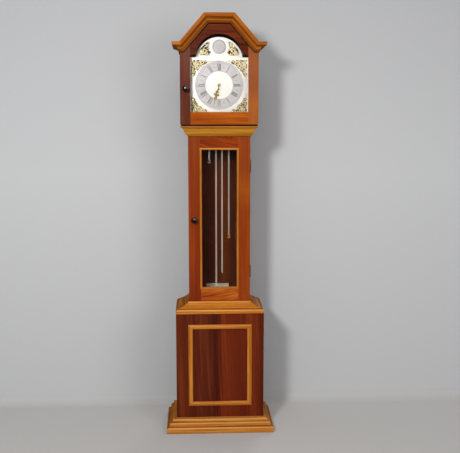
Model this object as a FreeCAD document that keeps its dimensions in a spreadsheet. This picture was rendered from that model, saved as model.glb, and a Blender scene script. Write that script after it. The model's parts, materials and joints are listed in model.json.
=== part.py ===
import FreeCAD, Part
import Sketcher
import math
import os
import re

# Longcase clock with a gabled hood, break-arch dial, glazed trunk door and two-train chain movement.
# Millimetres. X points right, Y points to the back, Z points up.
# The origin is the middle of the base's footprint, on the floor.

Vector = FreeCAD.Vector
document = FreeCAD.newDocument("LongcaseClock")

# Driving sizes, one cell each
sizes = {
    # case outline, floor to crown
    "baseWidth": 510, "baseDepth": 280, "baseHeight": 64, "baseProjection": 47.5,
    "plinthHeight": 572, "waistHeight": 47, "waistProjection": 62.5, "waistOverhang": 1,
    "trunkHeight": 782, "throatHeight": 46, "throatProjection": 34,
    "hoodBaseThick": 8, "hoodBaseSetback": 3, "hoodHeight": 495, "gableHeight": 126,
    "ridgeWidth": 100, "earWidth": 19, "crownHeight": 42, "crownProjection": 35,
    # boards
    "boardThick": 18, "backThick": 8, "roofThick": 10, "doorThick": 20, "fitGap": 0.4,
    "edgeRound": 1.5, "trunkInset": 72, "floorLift": 20, "floorThick": 12,
    "panelHalfWidth": 128.5, "panelBottom": 143, "panelHeight": 356,
    "panelBeadWidth": 21.5, "panelBeadProud": 9,
    "battenWidth": 110, "battenHeight": 16, "battenThick": 12, "battenLevel": 82, "battenShift": 5,
    # trunk door
    "trunkDoorGap": 1, "trunkStileWidth": 56.2, "trunkTopRail": 55, "trunkBottomRail": 60,
    "beadWidth": 9.6, "beadLap": 2.8, "beadProud": 3.5, "beadDepth": 8, "glassThick": 3,
    "trunkKnobHeight": 391, "trunkKnobInset": 28, "trunkKnobRadius": 15,
    "hingeHeight": 60, "hingeLeaf": 14, "hingeThick": 1.6, "knuckleRadius": 2.2, "hingePinRadius": 1,
    "hingeInset": 110,
    # hood door
    "hoodDoorGap": 1, "hoodDoorRelief": 1.6, "crownRelief": 3.5, "hoodStileWidth": 47,
    "hoodBottomRail": 56, "shoulderDrop": 15, "archDrop": 13, "archEar": 25, "archBar": 47,
    "rebateWidth": 6, "rebateDepth": 8, "hoodKnobHeight": 163, "hoodKnobInset": 27,
    "hoodKnobRadius": 16, "hoodPivotInset": 6, "pivotRadius": 1.5, "pivotReach": 7, "pivotRun": 0.08,
    "sillHeight": 30,
    # dial
    "dialSetback": 30, "dialThick": 1.5, "dialLap": 8, "dialBottom": 42, "dialShoulderDrop": 23,
    "dialArchDrop": 18, "dialArchLap": 1.5, "dialFootRadius": 3, "ringThick": 1.5,
    "spandrelThick": 1.8, "castingInset": 4, "bossThick": 2, "handThick": 1, "handSpace": 2.2,
    "handWall": 3,
    "minuteAngle": 195, "hourAngle": 196.25,
    # movement
    "arborHeight": 74, "seatThick": 18, "seatFront": 8, "seatDepth": 102,
    "chainSlotLength": 50, "chainSlotWidth": 24,
    "motionSpace": 15, "plateThick": 2.5, "plateGap": 54, "plateWidth": 150, "plateHeight": 172,
    "pillarRadius": 4, "pillarInset": 11, "arborRadius": 1.8, "pivotPin": 1, "pivotClear": 0.08,
    "greatTeeth": 48, "greatModule": 1.5, "pinionLeaves": 6, "strikeTeeth": 42,
    "centreTeeth": 48, "centreModule": 0.95, "thirdTeeth": 45, "thirdModule": 0.9,
    "escapeTeeth": 30, "escapeRadius": 19, "escapeRise": 44, "anchorRise": 30,
    "cannonTeeth": 8, "minuteWheelTeeth": 24, "motionModule": 1.5, "minutePinionTeeth": 6,
    "hourWheelTeeth": 24, "wheelThick": 1.6, "greatThick": 2.5, "pinionLength": 8,
    # chains
    "sprocketSpread": 60, "chainRadius": 16, "linkPitch": 6.4, "linkWidth": 8, "linkWire": 2,
    "linkGap": 0.3, "chainLength": 1575, "goingHookDrop": 308, "strikeHookDrop": 666,
    "hookWire": 1.5, "hookRadius": 5.5, "hookShank": 4,
}

sheet = document.addObject("Spreadsheet::Sheet", "Sizes")
for row, (name, size) in enumerate(sizes.items(), start=1):
    sheet.set(f"A{row}", name)
    sheet.set(f"B{row}", str(size))
    sheet.setAlias(f"B{row}", name)
document.recompute()

# Moulding profiles: shares of the projection and of the height, from the wall at the bottom to the wall
# at the top. A third value is the radius, as a share of the height, of the arc that ends at the point.
# The fourth is 1 where the arc bulges out and -1 where it is hollow.
baseShares = [
    (1, 0), (1, 0.30), (0.83, 0.42, 0.125, 1), (0.71, 0.42), (0.71, 0.61), (0.56, 0.72, 0.11, 1),
    (0.43, 0.72), (0.43, 0.845), (0.31, 0.94, 0.095, 1), (0.09, 0.94), (0.09, 1),
]
waistShares = [
    (1, 0), (1, 0.18), (0.98, 0.22), (0.87, 0.40, 0.19, 1), (0.83, 0.40), (0.83, 0.46),
    (0.06, 0.93, 2.4, -1), (0.06, 1),
]
throatShares = [
    (0.06, 0), (0.06, 0.06), (0.50, 0.45, 0.75, 1), (0.86, 0.86, 0.75, -1), (1, 0.90), (1, 1),
]
crownShares = [
    (0.11, 0), (0.185, 0.063, 0.063, 1), (0.11, 0.126, 0.063, 1), (0.18, 0.126),
    (0.69, 0.555, 0.43, -1), (0.77, 0.555), (0.77, 0.60), (1, 0.79, 0.195, 1), (1, 1),
]
panelBeadShares = [(0.5, 0), (1, 0.22, 0.22, 1), (1, 0.45), (0.35, 0.86, 0.42, 1), (0.35, 1)]

# Places worked out from the driving sizes, written as expressions on the sheet
plinthHalf = "(baseWidth / 2 - baseProjection)"
trunkHalf = f"({plinthHalf} - waistProjection)"
hoodHalf = f"({trunkHalf} + throatProjection)"
backFace = "(baseDepth / 2)"
baseFront = "(-baseDepth / 2)"
plinthFront = f"({baseFront} + baseProjection)"
trunkFront = f"({plinthFront} + waistProjection)"
hoodFront = f"({trunkFront} - throatProjection)"
trunkShellFront = f"({trunkFront} + doorThick + fitGap)"
hoodShellFront = f"({hoodFront} + doorThick + hoodDoorRelief)"
shellBack = f"({backFace} - backThick)"
trunkLevel = "(plinthHeight + waistHeight)"
throatLevel = f"({trunkLevel} + trunkHeight)"
hoodLevel = f"({throatLevel} + throatHeight)"
hoodFloor = f"({hoodLevel} + hoodBaseThick)"
ridgeLevel = f"({hoodFloor} + hoodHeight - crownHeight)"
eaveLevel = f"({ridgeLevel} - gableHeight)"
eaveHalf = f"({hoodHalf} - earWidth)"
ridgeHalf = "(ridgeWidth / 2)"
gableRise = f"({ridgeLevel} - {eaveLevel})"
gableRun = f"({eaveHalf} - {ridgeHalf})"
gableAngle = f"atan2({gableRise}; {gableRun})"
mitreSlope = f"tan({gableAngle} / 2)"
hoodWindowHalf = f"({hoodHalf} - hoodStileWidth)"
dialFront = f"({hoodFront} + dialSetback)"
dialBack = f"({dialFront} + dialThick)"
dialHalf = f"({hoodWindowHalf} + dialLap)"
dialLow = f"({hoodFloor} + dialBottom)"
dialHigh = f"({eaveLevel} - dialShoulderDrop)"
dialHeight = f"({dialHigh} - {dialLow})"
centreShare, reachShare = 0.5229, 0.5345      # the centre's height and the ornament's reach, in dial heights
dialCentreLevel = f"({dialLow} + {centreShare} * {dialHeight})"
dialReach = f"min({dialHalf}; {reachShare} * {dialHeight})"
frontPlateBack = f"({dialBack} + motionSpace + plateThick)"
backPlateFront = f"({frontPlateBack} + plateGap)"
seatTop = f"({dialCentreLevel} - arborHeight)"
chainPlane = f"({frontPlateBack} + plateGap / 2)"
sprocketHalf = "(sprocketSpread / 2)"
greatDistance = "(greatModule * (greatTeeth + pinionLeaves) / 2)"
sprocketDrop = f"sqrt({greatDistance} * {greatDistance} - {sprocketHalf} * {sprocketHalf})"
sprocketLevel = f"({dialCentreLevel} - {sprocketDrop})"

doorBottom = f"({trunkLevel} + trunkDoorGap)"
doorTop = f"({throatLevel} - trunkDoorGap)"
hingeX = f"({trunkHalf} + knuckleRadius)"
hingeY = f"({trunkFront} + doorThick + fitGap / 2)"
hingeLevels = (f"({doorBottom} + hingeInset)", f"({doorTop} - hingeInset - hingeHeight)")

over = "boardThick"      # how far cutting shapes run past the wood


def linked(expression):
    """Point the names in an expression at the sheet's cells."""
    return re.sub(r"[A-Za-z]\w*", lambda word: "Sizes." + word[0] if word[0] in sizes else word[0],
                  str(expression))


def number(expression):
    """The value of an expression on the sheet."""
    result = sheet.evalExpression(str(expression))
    return float(getattr(result, "Value", result))


def bind(thing, **properties):
    for name, expression in properties.items():
        thing.setExpression(name, linked(expression))


def place(thing, x="0", y="0", z="0", turn=None):
    """Put an object at a place on the sheet's sizes; turn is an angle about the Y axis."""
    if turn is not None:
        thing.Placement = FreeCAD.Placement(Vector(), FreeCAD.Rotation(Vector(0, 1, 0), number(turn)))
        if not re.fullmatch(r"-?\d+", str(turn)):
            thing.setExpression("Placement.Rotation.Angle", linked(turn))
    for axis, expression in (("x", x), ("y", y), ("z", z)):
        thing.setExpression("Placement.Base." + axis, linked(expression))


def newBody(label):
    body = document.addObject("PartDesign::Body", label)
    body.Label = label
    return body


def newSketch(body, plane, name="Sketch"):
    sketch = body.newObject("Sketcher::SketchObject", name)
    role = plane + "_Plane"
    origin = next(feature for feature in body.Origin.OriginFeatures if feature.Role == role)
    sketch.AttachmentSupport = [(origin, "")]
    sketch.MapMode = "FlatFace"
    return sketch


def arcBetween(start, end, radius, side):
    """The shorter arc from start to end; side is 1 when its centre lies to the left of the way."""
    chord = end - start
    reach = math.sqrt(max(radius * radius - chord.Length * chord.Length / 4, 0))
    left = Vector(-chord.y, chord.x, 0).normalize()
    centre = (start + end) * 0.5 + left * (reach * side)
    first = math.atan2(start.y - centre.y, start.x - centre.x)
    last = math.atan2(end.y - centre.y, end.x - centre.x)
    if side < 0:
        first, last = last, first
    if last < first:
        last += 2 * math.pi
    return Part.ArcOfCircle(Part.Circle(centre, Vector(0, 0, 1), radius), first, last)


def drawOutline(sketch, corners):
    """Closed outline: (x, y) ends a straight edge, (x, y, radius, side) ends an arc."""
    points = [Vector(number(corner[0]), number(corner[1]), 0) for corner in corners]
    count = len(corners)
    first = sketch.GeometryCount
    edges = []
    ends = []
    for index, start in enumerate(points):
        arrival = corners[(index + 1) % count]
        end = points[(index + 1) % count]
        bend = arrival[2:]
        edges.append(arcBetween(start, end, number(bend[0]), bend[1]) if bend
                     else Part.LineSegment(start, end))
        forward = not bend or bend[1] > 0
        ends.append((1, 2) if forward else (2, 1))
    sketch.addGeometry(edges)
    for index in range(count):
        following = (index + 1) % count
        sketch.addConstraint(Sketcher.Constraint("Coincident", first + index, ends[index][1],
                                                 first + following, ends[following][0]))
        for axis, kind in enumerate(("DistanceX", "DistanceY")):
            constraint = sketch.addConstraint(Sketcher.Constraint(
                kind, -1, 1, first + index, ends[index][0], points[index][axis]))
            sketch.setExpression(f"Constraints[{constraint}]", linked(corners[index][axis]))
        bend = corners[following][2:]
        if bend:
            constraint = sketch.addConstraint(Sketcher.Constraint("Radius", first + index, number(bend[0])))
            sketch.setExpression(f"Constraints[{constraint}]", linked(bend[0]))


def drawRectangle(sketch, left, bottom, right, top):
    drawOutline(sketch, [(left, bottom), (right, bottom), (right, top), (left, top)])


def drawCircle(sketch, x, y, radius):
    centre = Vector(number(x), number(y), 0)
    circle = sketch.addGeometry(Part.Circle(centre, Vector(0, 0, 1), number(radius)))
    for kind, value, expression in (("DistanceX", centre.x, x), ("DistanceY", centre.y, y)):
        constraint = sketch.addConstraint(Sketcher.Constraint(kind, -1, 1, circle, 3, value))
        sketch.setExpression(f"Constraints[{constraint}]", linked(expression))
    constraint = sketch.addConstraint(Sketcher.Constraint("Radius", circle, number(radius)))
    sketch.setExpression(f"Constraints[{constraint}]", linked(radius))


def pad(body, sketch, length, backward=False, middle=False):
    """Extrude a sketch; backward runs against its normal, which on XZ is towards the back."""
    feature = body.newObject("PartDesign::Pad", "Pad")
    feature.Profile = sketch
    feature.Reversed = backward
    feature.Midplane = middle
    bind(feature, Length=length)
    return feature


def pocket(body, sketch, depth=None, backward=False):
    """Cut a sketch to a depth, or right through both ways."""
    feature = body.newObject("PartDesign::Pocket", "Pocket")
    feature.Profile = sketch
    if depth is None:
        feature.Type = "ThroughAll"
        feature.Midplane = True
    else:
        feature.Reversed = backward
        bind(feature, Length=depth)
    return feature


def board(label, x, y, z, width, depth, height):
    """A plain board by its lowest corner and its size along X, Y and Z."""
    box = document.addObject("Part::Box", label)
    box.Label = label
    bind(box, Length=width, Width=depth, Height=height)
    place(box, x, y, z)
    return box


def frontPanel(label, outline, front, thickness, holes=()):
    """A panel drawn in the clock's own X and Z, with its face at the given Y."""
    body = newBody(label)
    sketch = newSketch(body, "XZ")
    drawOutline(sketch, outline)
    for hole in holes:
        drawCircle(sketch, *hole)
    pad(body, sketch, thickness, backward=True)
    place(body, y=front)
    return body


def group(label, members):
    compound = document.addObject("Part::Compound", label)
    compound.Label = label
    compound.Links = members
    return compound


def feature(label, shape, x="0", y="0", z="0"):
    """A shape made in code from the sheet's sizes, then placed."""
    item = document.addObject("Part::Feature", label)
    item.Label = label
    item.Shape = shape
    item.Placement = FreeCAD.Placement(Vector(number(x), number(y), number(z)), FreeCAD.Rotation())
    return item


def profile(shares, projection, height, back="0"):
    """A moulding's section as (out, up) corners, with its flat back the given depth behind the wall."""
    corners = [(f"-{back}", "0")]
    for out, up, *bend in shares:
        corner = (f"{out} * {projection}", f"{up} * {height}")
        if bend:
            corner += (f"{bend[0]} * {height}", bend[1])
        corners.append(corner)
    return corners + [(f"-{back}", height)]


def turned(corners, across, flip):
    """A section with its out direction mapped by across; flip says that this mirrors it."""
    result = []
    for out, up, *bend in corners:
        corner = (across(out), up)
        if bend:
            corner += (bend[0], -bend[1] if flip else bend[1])
        result.append(corner)
    return result


def frontMoulding(label, section, half, wall, level, projection, back):
    """Length of moulding along the front of the case, mitred at both ends."""
    body = newBody(label)
    sketch = newSketch(body, "YZ")
    drawOutline(sketch, turned(section, lambda out: f"-({out})", True))
    pad(body, sketch, f"2 * ({half} + {projection})", middle=True)
    ends = newSketch(body, "XY")
    reach = f"({projection} + {over})"
    for side in ("", "-"):
        drawOutline(ends, [
            (f"{side}{half}", f"{back} + {over}"), (f"{side}{half}", "0"),
            (f"{side}({half} + {reach})", f"-{reach}"),
            (f"{side}({half} + {reach})", f"{back} + {over}")])
    pocket(body, ends)
    place(body, y=wall, z=level)
    return body


def sideMoulding(label, section, half, wall, level, projection, side):
    """Length of moulding along one side of the case; side is "" on the right and "-" on the left."""
    body = newBody(label)
    sketch = newSketch(body, "XZ")
    drawOutline(sketch, turned(section, lambda out: f"{side}({half} + {out})", side == "-"))
    pad(body, sketch, f"{backFace} - {wall} + {projection}", backward=True)
    mitre = newSketch(body, "XY")
    reach = f"({projection} + {over})"
    drawOutline(mitre, [
        (f"{side}({half} - {over})", f"{projection} + {over}"),
        (f"{side}({half} + {reach})", f"-{over}"),
        (f"{side}({half} - {over})", f"-{over}")])
    pocket(body, mitre)
    place(body, y=f"{wall} - {projection}", z=level)
    return body


def frameMoulding(label, section, width, halfWidth, halfHeight, level, wall):
    """Four mitred lengths round a rectangle; the section's up direction runs out from the rectangle."""
    members = []
    sides = (("top", halfWidth, "0", f"{level} + {halfHeight}", 0),
             ("right", halfHeight, halfWidth, level, 90),
             ("bottom", halfWidth, "0", f"{level} - {halfHeight}", 180),
             ("left", halfHeight, f"-{halfWidth}", level, 270))
    for name, half, x, z, angle in sides:
        body = newBody(f"{label}_{name}")
        sketch = newSketch(body, "YZ")
        drawOutline(sketch, turned(section, lambda out: f"-({out})", True))
        pad(body, sketch, f"2 * ({half} + {width})", middle=True)
        mitres = newSketch(body, "XZ")
        for side in ("", "-"):
            drawOutline(mitres, [
                (f"{side}({half} - {width})", f"-{width}"),
                (f"{side}({half} + 2 * {width})", f"2 * {width}"),
                (f"{side}({half} + 2 * {width})", f"-{width}")])
        pocket(body, mitres)
        place(body, x, wall, z, turn=angle)
        members.append(body)
    return group(label, members)


# A door knob's section as shares of its radius: out from the spindle, forward, and the arc's radius
knobShares = [(0, 0), (0.62, 0), (0.62, 0.14), (1, 1.02, 0.56, 1), (1, 1.3), (0.72, 1.62), (0, 1.74)]


def knob(label, radius, x, y, z):
    """Turned knob on a door's face, revolved about its spindle."""
    body = newBody(label)
    sketch = newSketch(body, "XY")
    drawOutline(sketch, [
        (f"{out} * {radius}", f"-{forward} * {radius}", *((f"{bend[0]} * {radius}", bend[1]) if bend else ()))
        for out, forward, *bend in knobShares])
    revolution = body.newObject("PartDesign::Revolution", "Revolution")
    revolution.Profile = sketch
    revolution.ReferenceAxis = (sketch, ["V_Axis"])
    revolution.Angle = 360
    place(body, x, y, z)
    return body


nodes = []


def keep(*items):
    nodes.extend(items)


# Base, plinth and its panel moulding
baseSection = profile(baseShares, "baseProjection", "baseHeight")
keep(frontMoulding("base_moulding_front", baseSection, plinthHalf, plinthFront, "0", "baseProjection", "0"))
for name, side in (("left", "-"), ("right", "")):
    keep(sideMoulding("base_moulding_" + name, baseSection, plinthHalf, plinthFront, "0",
                      "baseProjection", side))

keep(board("plinth_front", f"-{plinthHalf}", plinthFront, "0", f"2 * {plinthHalf}", "boardThick",
           "plinthHeight"))
plinthInside = f"({plinthFront} + boardThick)"
for name, x in (("left", f"-{plinthHalf}"), ("right", f"{plinthHalf} - boardThick")):
    keep(board("plinth_side_" + name, x, plinthInside, "0", "boardThick",
               f"{shellBack} - {plinthInside}", "plinthHeight"))
keep(board("plinth_floor", f"boardThick - {plinthHalf}", plinthInside, "floorLift",
           f"2 * ({plinthHalf} - boardThick)", f"{shellBack} - {plinthInside}", "floorThick"))
keep(frameMoulding("plinth_panel_moulding", profile(panelBeadShares, "panelBeadProud", "panelBeadWidth"),
                   "panelBeadWidth", "panelHalfWidth", "(panelHeight / 2)",
                   "(panelBottom + panelHeight / 2)", plinthFront))

# Waist moulding: it lies on the plinth's top edges and against the trunk
waistReach = "(waistProjection + waistOverhang)"
blockDepth = "(doorThick + fitGap)"
keep(frontMoulding("waist_moulding_front", profile(waistShares, waistReach, "waistHeight", blockDepth),
                   trunkHalf, trunkFront, "plinthHeight", waistReach, blockDepth))
keep(group("waist_moulding_sides", [
    sideMoulding("waist_moulding_" + name, profile(waistShares, waistReach, "waistHeight"),
                 trunkHalf, trunkFront, "plinthHeight", waistReach, side)
    for name, side in (("left", "-"), ("right", ""))]))

# Trunk sides run down inside the plinth and up inside the hood, where they carry the seat board
cheekTop = f"({seatTop} - seatThick)"
trunkFoot = "(plinthHeight - trunkInset)"
for name, x in (("left", f"-{trunkHalf}"), ("right", f"{trunkHalf} - boardThick")):
    side = board("trunk_side_" + name, x, trunkShellFront, trunkFoot, "boardThick",
                 f"{shellBack} - {trunkShellFront}", f"{cheekTop} - {trunkFoot}")
    if name == "right":
        side.Label = "trunk_side_blank"
        seats = group("trunk_hinge_seats", [
            board(f"trunk_hinge_seat_{index}", f"{hingeX} - knuckleRadius - hingeLeaf - fitGap / 2",
                  trunkShellFront, f"{level} - fitGap / 2", "boardThick", "hingeThick",
                  "hingeHeight + fitGap") for index, level in enumerate(hingeLevels)])
        cut = document.addObject("Part::Cut", "trunk_side_right_cut")
        cut.Base = side
        cut.Tool = seats
        cut.Label = "trunk_side_right"
        side = cut
    keep(side)

# Back board in one sheet, cut to the outline of plinth, trunk and gabled hood
roofRise = f"(roofThick / cos({gableAngle}))"
sideInner = f"({hoodHalf} - boardThick)"
roofFoot = f"({eaveLevel} + ({eaveHalf} - {sideInner}) * tan({gableAngle}) + {roofRise})"
roofRidge = f"({ridgeHalf} + roofThick * {mitreSlope})"
rightOutline = [
    (plinthHalf, "0"), (plinthHalf, "plinthHeight"), (trunkHalf, "plinthHeight"), (trunkHalf, hoodLevel),
    (hoodHalf, hoodLevel), (hoodHalf, f"{eaveLevel} + crownHeight"),
    (sideInner, f"{eaveLevel} + crownHeight"), (sideInner, roofFoot),
    (roofRidge, f"{ridgeLevel} + roofThick")]
leftOutline = [(f"-{x}", z) for x, z in reversed(rightOutline)]
keep(frontPanel("back_board", rightOutline + leftOutline, shellBack, "backThick"))
keep(board("back_batten", "-battenWidth / 2 - battenShift", f"{shellBack} - battenThick",
           "plinthHeight + battenLevel", "battenWidth", "battenThick", "battenHeight"))

# Throat moulding under the hood
throatSection = profile(throatShares, "throatProjection", "throatHeight")
keep(frontMoulding("throat_moulding_front",
                   profile(throatShares, "throatProjection", "throatHeight", blockDepth),
                   trunkHalf, trunkFront, throatLevel, "throatProjection", blockDepth))
for name, side in (("left", "-"), ("right", "")):
    keep(sideMoulding("throat_moulding_" + name, throatSection, trunkHalf, trunkFront, throatLevel,
                      "throatProjection", side))

# Hood: base frame, sill, sides, roof boards
frameHalf = f"({hoodHalf} - hoodBaseSetback)"
frameFront = f"({hoodFront} + hoodBaseSetback)"
openHalf = f"({trunkHalf} + fitGap)"
openFront = f"({trunkShellFront} - fitGap)"
pivotX = f"({hoodHalf} - hoodPivotInset)"
pivotY = f"({hoodFront} + hoodPivotInset)"
hoodBase = newBody("hood_base")
hoodBaseSketch = newSketch(hoodBase, "XY")
drawOutline(hoodBaseSketch, [
    (f"-{frameHalf}", frameFront), (frameHalf, frameFront), (frameHalf, shellBack), (openHalf, shellBack),
    (openHalf, openFront), (f"-{openHalf}", openFront), (f"-{openHalf}", shellBack),
    (f"-{frameHalf}", shellBack)])
drawCircle(hoodBaseSketch, pivotX, pivotY, "pivotRadius + pivotRun")
pad(hoodBase, hoodBaseSketch, "hoodBaseThick")
place(hoodBase, z=hoodLevel)
keep(hoodBase)
keep(board("hood_sill", f"-{sideInner}", hoodShellFront, hoodFloor, f"2 * {sideInner}", "boardThick",
           "sillHeight"))
for name, x in (("left", f"-{hoodHalf}"), ("right", sideInner)):
    keep(board("hood_side_" + name, x, hoodShellFront, hoodFloor, "boardThick",
               f"{shellBack} - {hoodShellFront}", f"{eaveLevel} + crownHeight - {hoodFloor}"))

slopeFoot = f"({roofFoot} - {roofRise})"
roofBoards = [frontPanel("hood_roof_ridge", [
    (f"-{ridgeHalf}", ridgeLevel), (ridgeHalf, ridgeLevel),
    (roofRidge, f"{ridgeLevel} + roofThick"), (f"-{roofRidge}", f"{ridgeLevel} + roofThick")],
    hoodShellFront, f"{shellBack} - {hoodShellFront}")]
for name, side in (("left", "-"), ("right", "")):
    roofBoards.append(frontPanel("hood_roof_" + name, [
        (side + ridgeHalf, ridgeLevel), (side + sideInner, slopeFoot), (side + sideInner, roofFoot),
        (side + roofRidge, f"{ridgeLevel} + roofThick")],
        hoodShellFront, f"{shellBack} - {hoodShellFront}"))
keep(group("hood_roof", roofBoards))


# Crown moulding: five mitred lengths over the gable and one return on each side
crownBlock = "(doorThick + hoodDoorRelief)"
crownSection = profile(crownShares, "crownProjection", "crownHeight", crownBlock)
crownTurn = f"(crownHeight * {mitreSlope})"
slopeLength = f"sqrt({gableRun} * {gableRun} + {gableRise} * {gableRise})"


def crownLength(label, start, end, cuts, x, z, turn=None):
    """A length of crown along local X between two places, with cuts in its face and from above."""
    body = newBody(label)
    sketch = newSketch(body, "YZ")
    drawOutline(sketch, turned(crownSection, lambda out: f"-({out})", True))
    sketch.setExpression(".AttachmentOffset.Base.z", linked(start))
    pad(body, sketch, f"{end} - {start}")
    for plane, outline in cuts:
        cut = newSketch(body, plane)
        drawOutline(cut, outline)
        pocket(body, cut)
    place(body, x, hoodFront, z, turn)
    return body


def leaningCut(foot, lean, away):
    """Triangle that trims a length to a slanted end through foot; away points off the length."""
    past = "(crownHeight + crownHeight)"
    return [(f"{foot} - {lean} * crownHeight", "-crownHeight"), (f"{foot} + {lean} * {past}", past),
            (f"{foot} {away} {past} * 2", past), (f"{foot} {away} {past} * 2", "-crownHeight")]


crownReach = f"({hoodHalf} + crownProjection - {eaveHalf})"
crownLengths = [crownLength("crown_moulding_ridge", f"(-{ridgeHalf} - {crownTurn})",
                            f"({ridgeHalf} + {crownTurn})", [
    ("XZ", leaningCut(ridgeHalf, mitreSlope, "+")),
    ("XZ", leaningCut(f"-{ridgeHalf}", f"-{mitreSlope}", "-"))], "0", ridgeLevel)]
for name, side, away, behind in (("left", "-", "-", "+"), ("right", "", "+", "-")):
    slopeSpan = ((f"(-{crownTurn})", slopeLength) if side == ""
                 else (f"(-{slopeLength})", crownTurn))
    lean = f"-{mitreSlope}" if side == "" else mitreSlope
    crownLengths.append(crownLength(
        "crown_moulding_slope_" + name, *slopeSpan, [
            ("XZ", leaningCut("0", lean, behind)),
            ("XZ", leaningCut(side + slopeLength, lean, away))],
        side + ridgeHalf, ridgeLevel, side + gableAngle))
    earSpan = (("0", crownReach) if side == "" else (f"(-{crownReach})", "0"))
    earEnd = f"{side}earWidth"
    outer = f"{side}(earWidth + crownProjection + {over})"
    crownLengths.append(crownLength(
        "crown_moulding_ear_" + name, *earSpan, [
            ("XZ", leaningCut("0", f"{side}{mitreSlope}", behind)),
            ("XY", [(earEnd, f"{crownBlock} + {over}"), (earEnd, "0"),
                    (outer, f"-(crownProjection + {over})"), (outer, f"{crownBlock} + {over}")])],
        side + eaveHalf, eaveLevel))

# Blind hole for the hood door's upper pivot, in the right ear
pivotBore = newSketch(crownLengths[-1], "XY", "PivotBore")
drawCircle(pivotBore, f"{pivotX} - {eaveHalf}", "hoodPivotInset", "pivotRadius + pivotRun")
pocket(crownLengths[-1], pivotBore, "pivotReach", backward=True)
keep(group("crown_moulding_front", crownLengths))
keep(group("crown_moulding_sides", [
    sideMoulding("crown_moulding_" + name, profile(crownShares, "crownProjection", "crownHeight"),
                 hoodHalf, hoodFront, eaveLevel, "crownProjection", side)
    for name, side in (("left", "-"), ("right", ""))]))

# Trunk door: stiles and rails, glazing bead, glass, knob and butt hinges
windowHalf = f"({trunkHalf} - trunkStileWidth)"
windowBottom = f"({doorBottom} + trunkBottomRail)"
windowTop = f"({doorTop} - trunkTopRail)"


def doorBar(label, x, y, z, width, depth, height, rounded):
    """A stile or rail with its outer front edges eased, in the board's own corner frame."""
    body = newBody(label)
    sketch = newSketch(body, "XY")
    ease = "edgeRound"
    corners = [("0", depth)]
    corners += [("0", ease), (ease, "0", ease, 1)] if "left" in rounded else [("0", "0")]
    corners += [(f"{width} - {ease}", "0"), (width, ease, ease, 1)] if "right" in rounded else [(width, "0")]
    drawOutline(sketch, corners + [(width, depth)])
    pad(body, sketch, height)
    place(body, x, y, z)
    return body


leafPocketDepth = "(hingeThick + fitGap / 2)"
for name, x, rounded in (("left", f"-{trunkHalf}", "left"), ("right", windowHalf, "right")):
    stile = doorBar("trunk_door_stile_" + name, x, trunkFront, doorBottom, "trunkStileWidth", "doorThick",
                    f"{doorTop} - {doorBottom}", rounded)
    if name == "right":
        seats = newSketch(stile, "YZ", "HingeSeats")
        for level in hingeLevels:
            drawRectangle(seats, f"doorThick - {leafPocketDepth}", f"{level} - {doorBottom} - fitGap / 2",
                          f"doorThick + {over}", f"{level} - {doorBottom} + hingeHeight + fitGap / 2")
        seats.setExpression(".AttachmentOffset.Base.z", linked("trunkStileWidth - hingeLeaf - fitGap / 2"))
        pocket(stile, seats, f"hingeLeaf + {over}", backward=True)
    keep(stile)
for name, z, height in (("top", windowTop, "trunkTopRail"), ("bottom", doorBottom, "trunkBottomRail")):
    keep(board("trunk_door_rail_" + name, f"-{windowHalf}", trunkFront, z, f"2 * {windowHalf}", "doorThick",
               height))

beadInner = f"({windowHalf} + beadLap - beadWidth)"
beadHalfHeight = f"(({windowTop} - {windowBottom}) / 2 + beadLap - beadWidth)"
windowMiddle = f"(({windowTop} + {windowBottom}) / 2)"
beadSection = [
    ("-beadDepth", "0"), ("0.4 * beadProud", "0"),
    ("beadProud", "0.6 * beadProud", "0.6 * beadProud", 1), ("beadProud", "0.5 * beadWidth"),
    ("0.45 * beadProud", "beadWidth", "1.8 * beadProud", 1), ("0", "beadWidth"),
    ("0", "beadWidth - beadLap - fitGap / 2"), ("-beadDepth", "beadWidth - beadLap - fitGap / 2")]
keep(frameMoulding("trunk_door_bead", beadSection, "beadWidth", beadInner, beadHalfHeight,
                   windowMiddle, trunkFront))
keep(board("trunk_door_glass", f"fitGap / 2 - {windowHalf}", f"{trunkFront} + beadDepth + fitGap / 2",
           f"{windowBottom} + fitGap / 2", f"2 * {windowHalf} - fitGap", "glassThick",
           f"{windowTop} - {windowBottom} - fitGap"))
keep(knob("trunk_door_knob", "trunkKnobRadius", f"trunkKnobInset - {trunkHalf}", trunkFront,
          f"{trunkLevel} + trunkKnobHeight"))


def hingeShape(levels, barrels, leafFront, pin):
    """Butt hinge halves: a leaf beside the knuckle line and barrels round the pin, in the clock's frame."""
    x, y = number(hingeX), number(hingeY)
    radius = number("knuckleRadius")
    pinRadius = number("hingePinRadius")
    height = number("hingeHeight")
    thick = number("hingeThick")
    leafEdge = x - radius - number("hingeLeaf")
    solids = []
    for level in levels:
        foot = number(level)
        leaf = Part.makeBox(x - leafEdge, thick, height, Vector(leafEdge, leafFront, foot))
        half = leaf.cut(Part.makeCylinder(radius + number("fitGap") / 2, height, Vector(x, y, foot)))
        for low, high in barrels:
            span = height * (high - low)
            barrelFoot = foot + height * low
            barrel = Part.makeCylinder(radius, span, Vector(x, y, barrelFoot))
            web = Part.makeBox(radius, thick, span, Vector(x - radius, leafFront, barrelFoot))
            half = half.fuse([barrel, web])
        if pin:
            half = half.fuse(Part.makeCylinder(pinRadius, height, Vector(x, y, foot)))
        else:
            half = half.cut(Part.makeCylinder(pinRadius + number("pivotRun"), height, Vector(x, y, foot)))
        solids.append(half.removeSplitter())
    return Part.makeCompound(solids)


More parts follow.
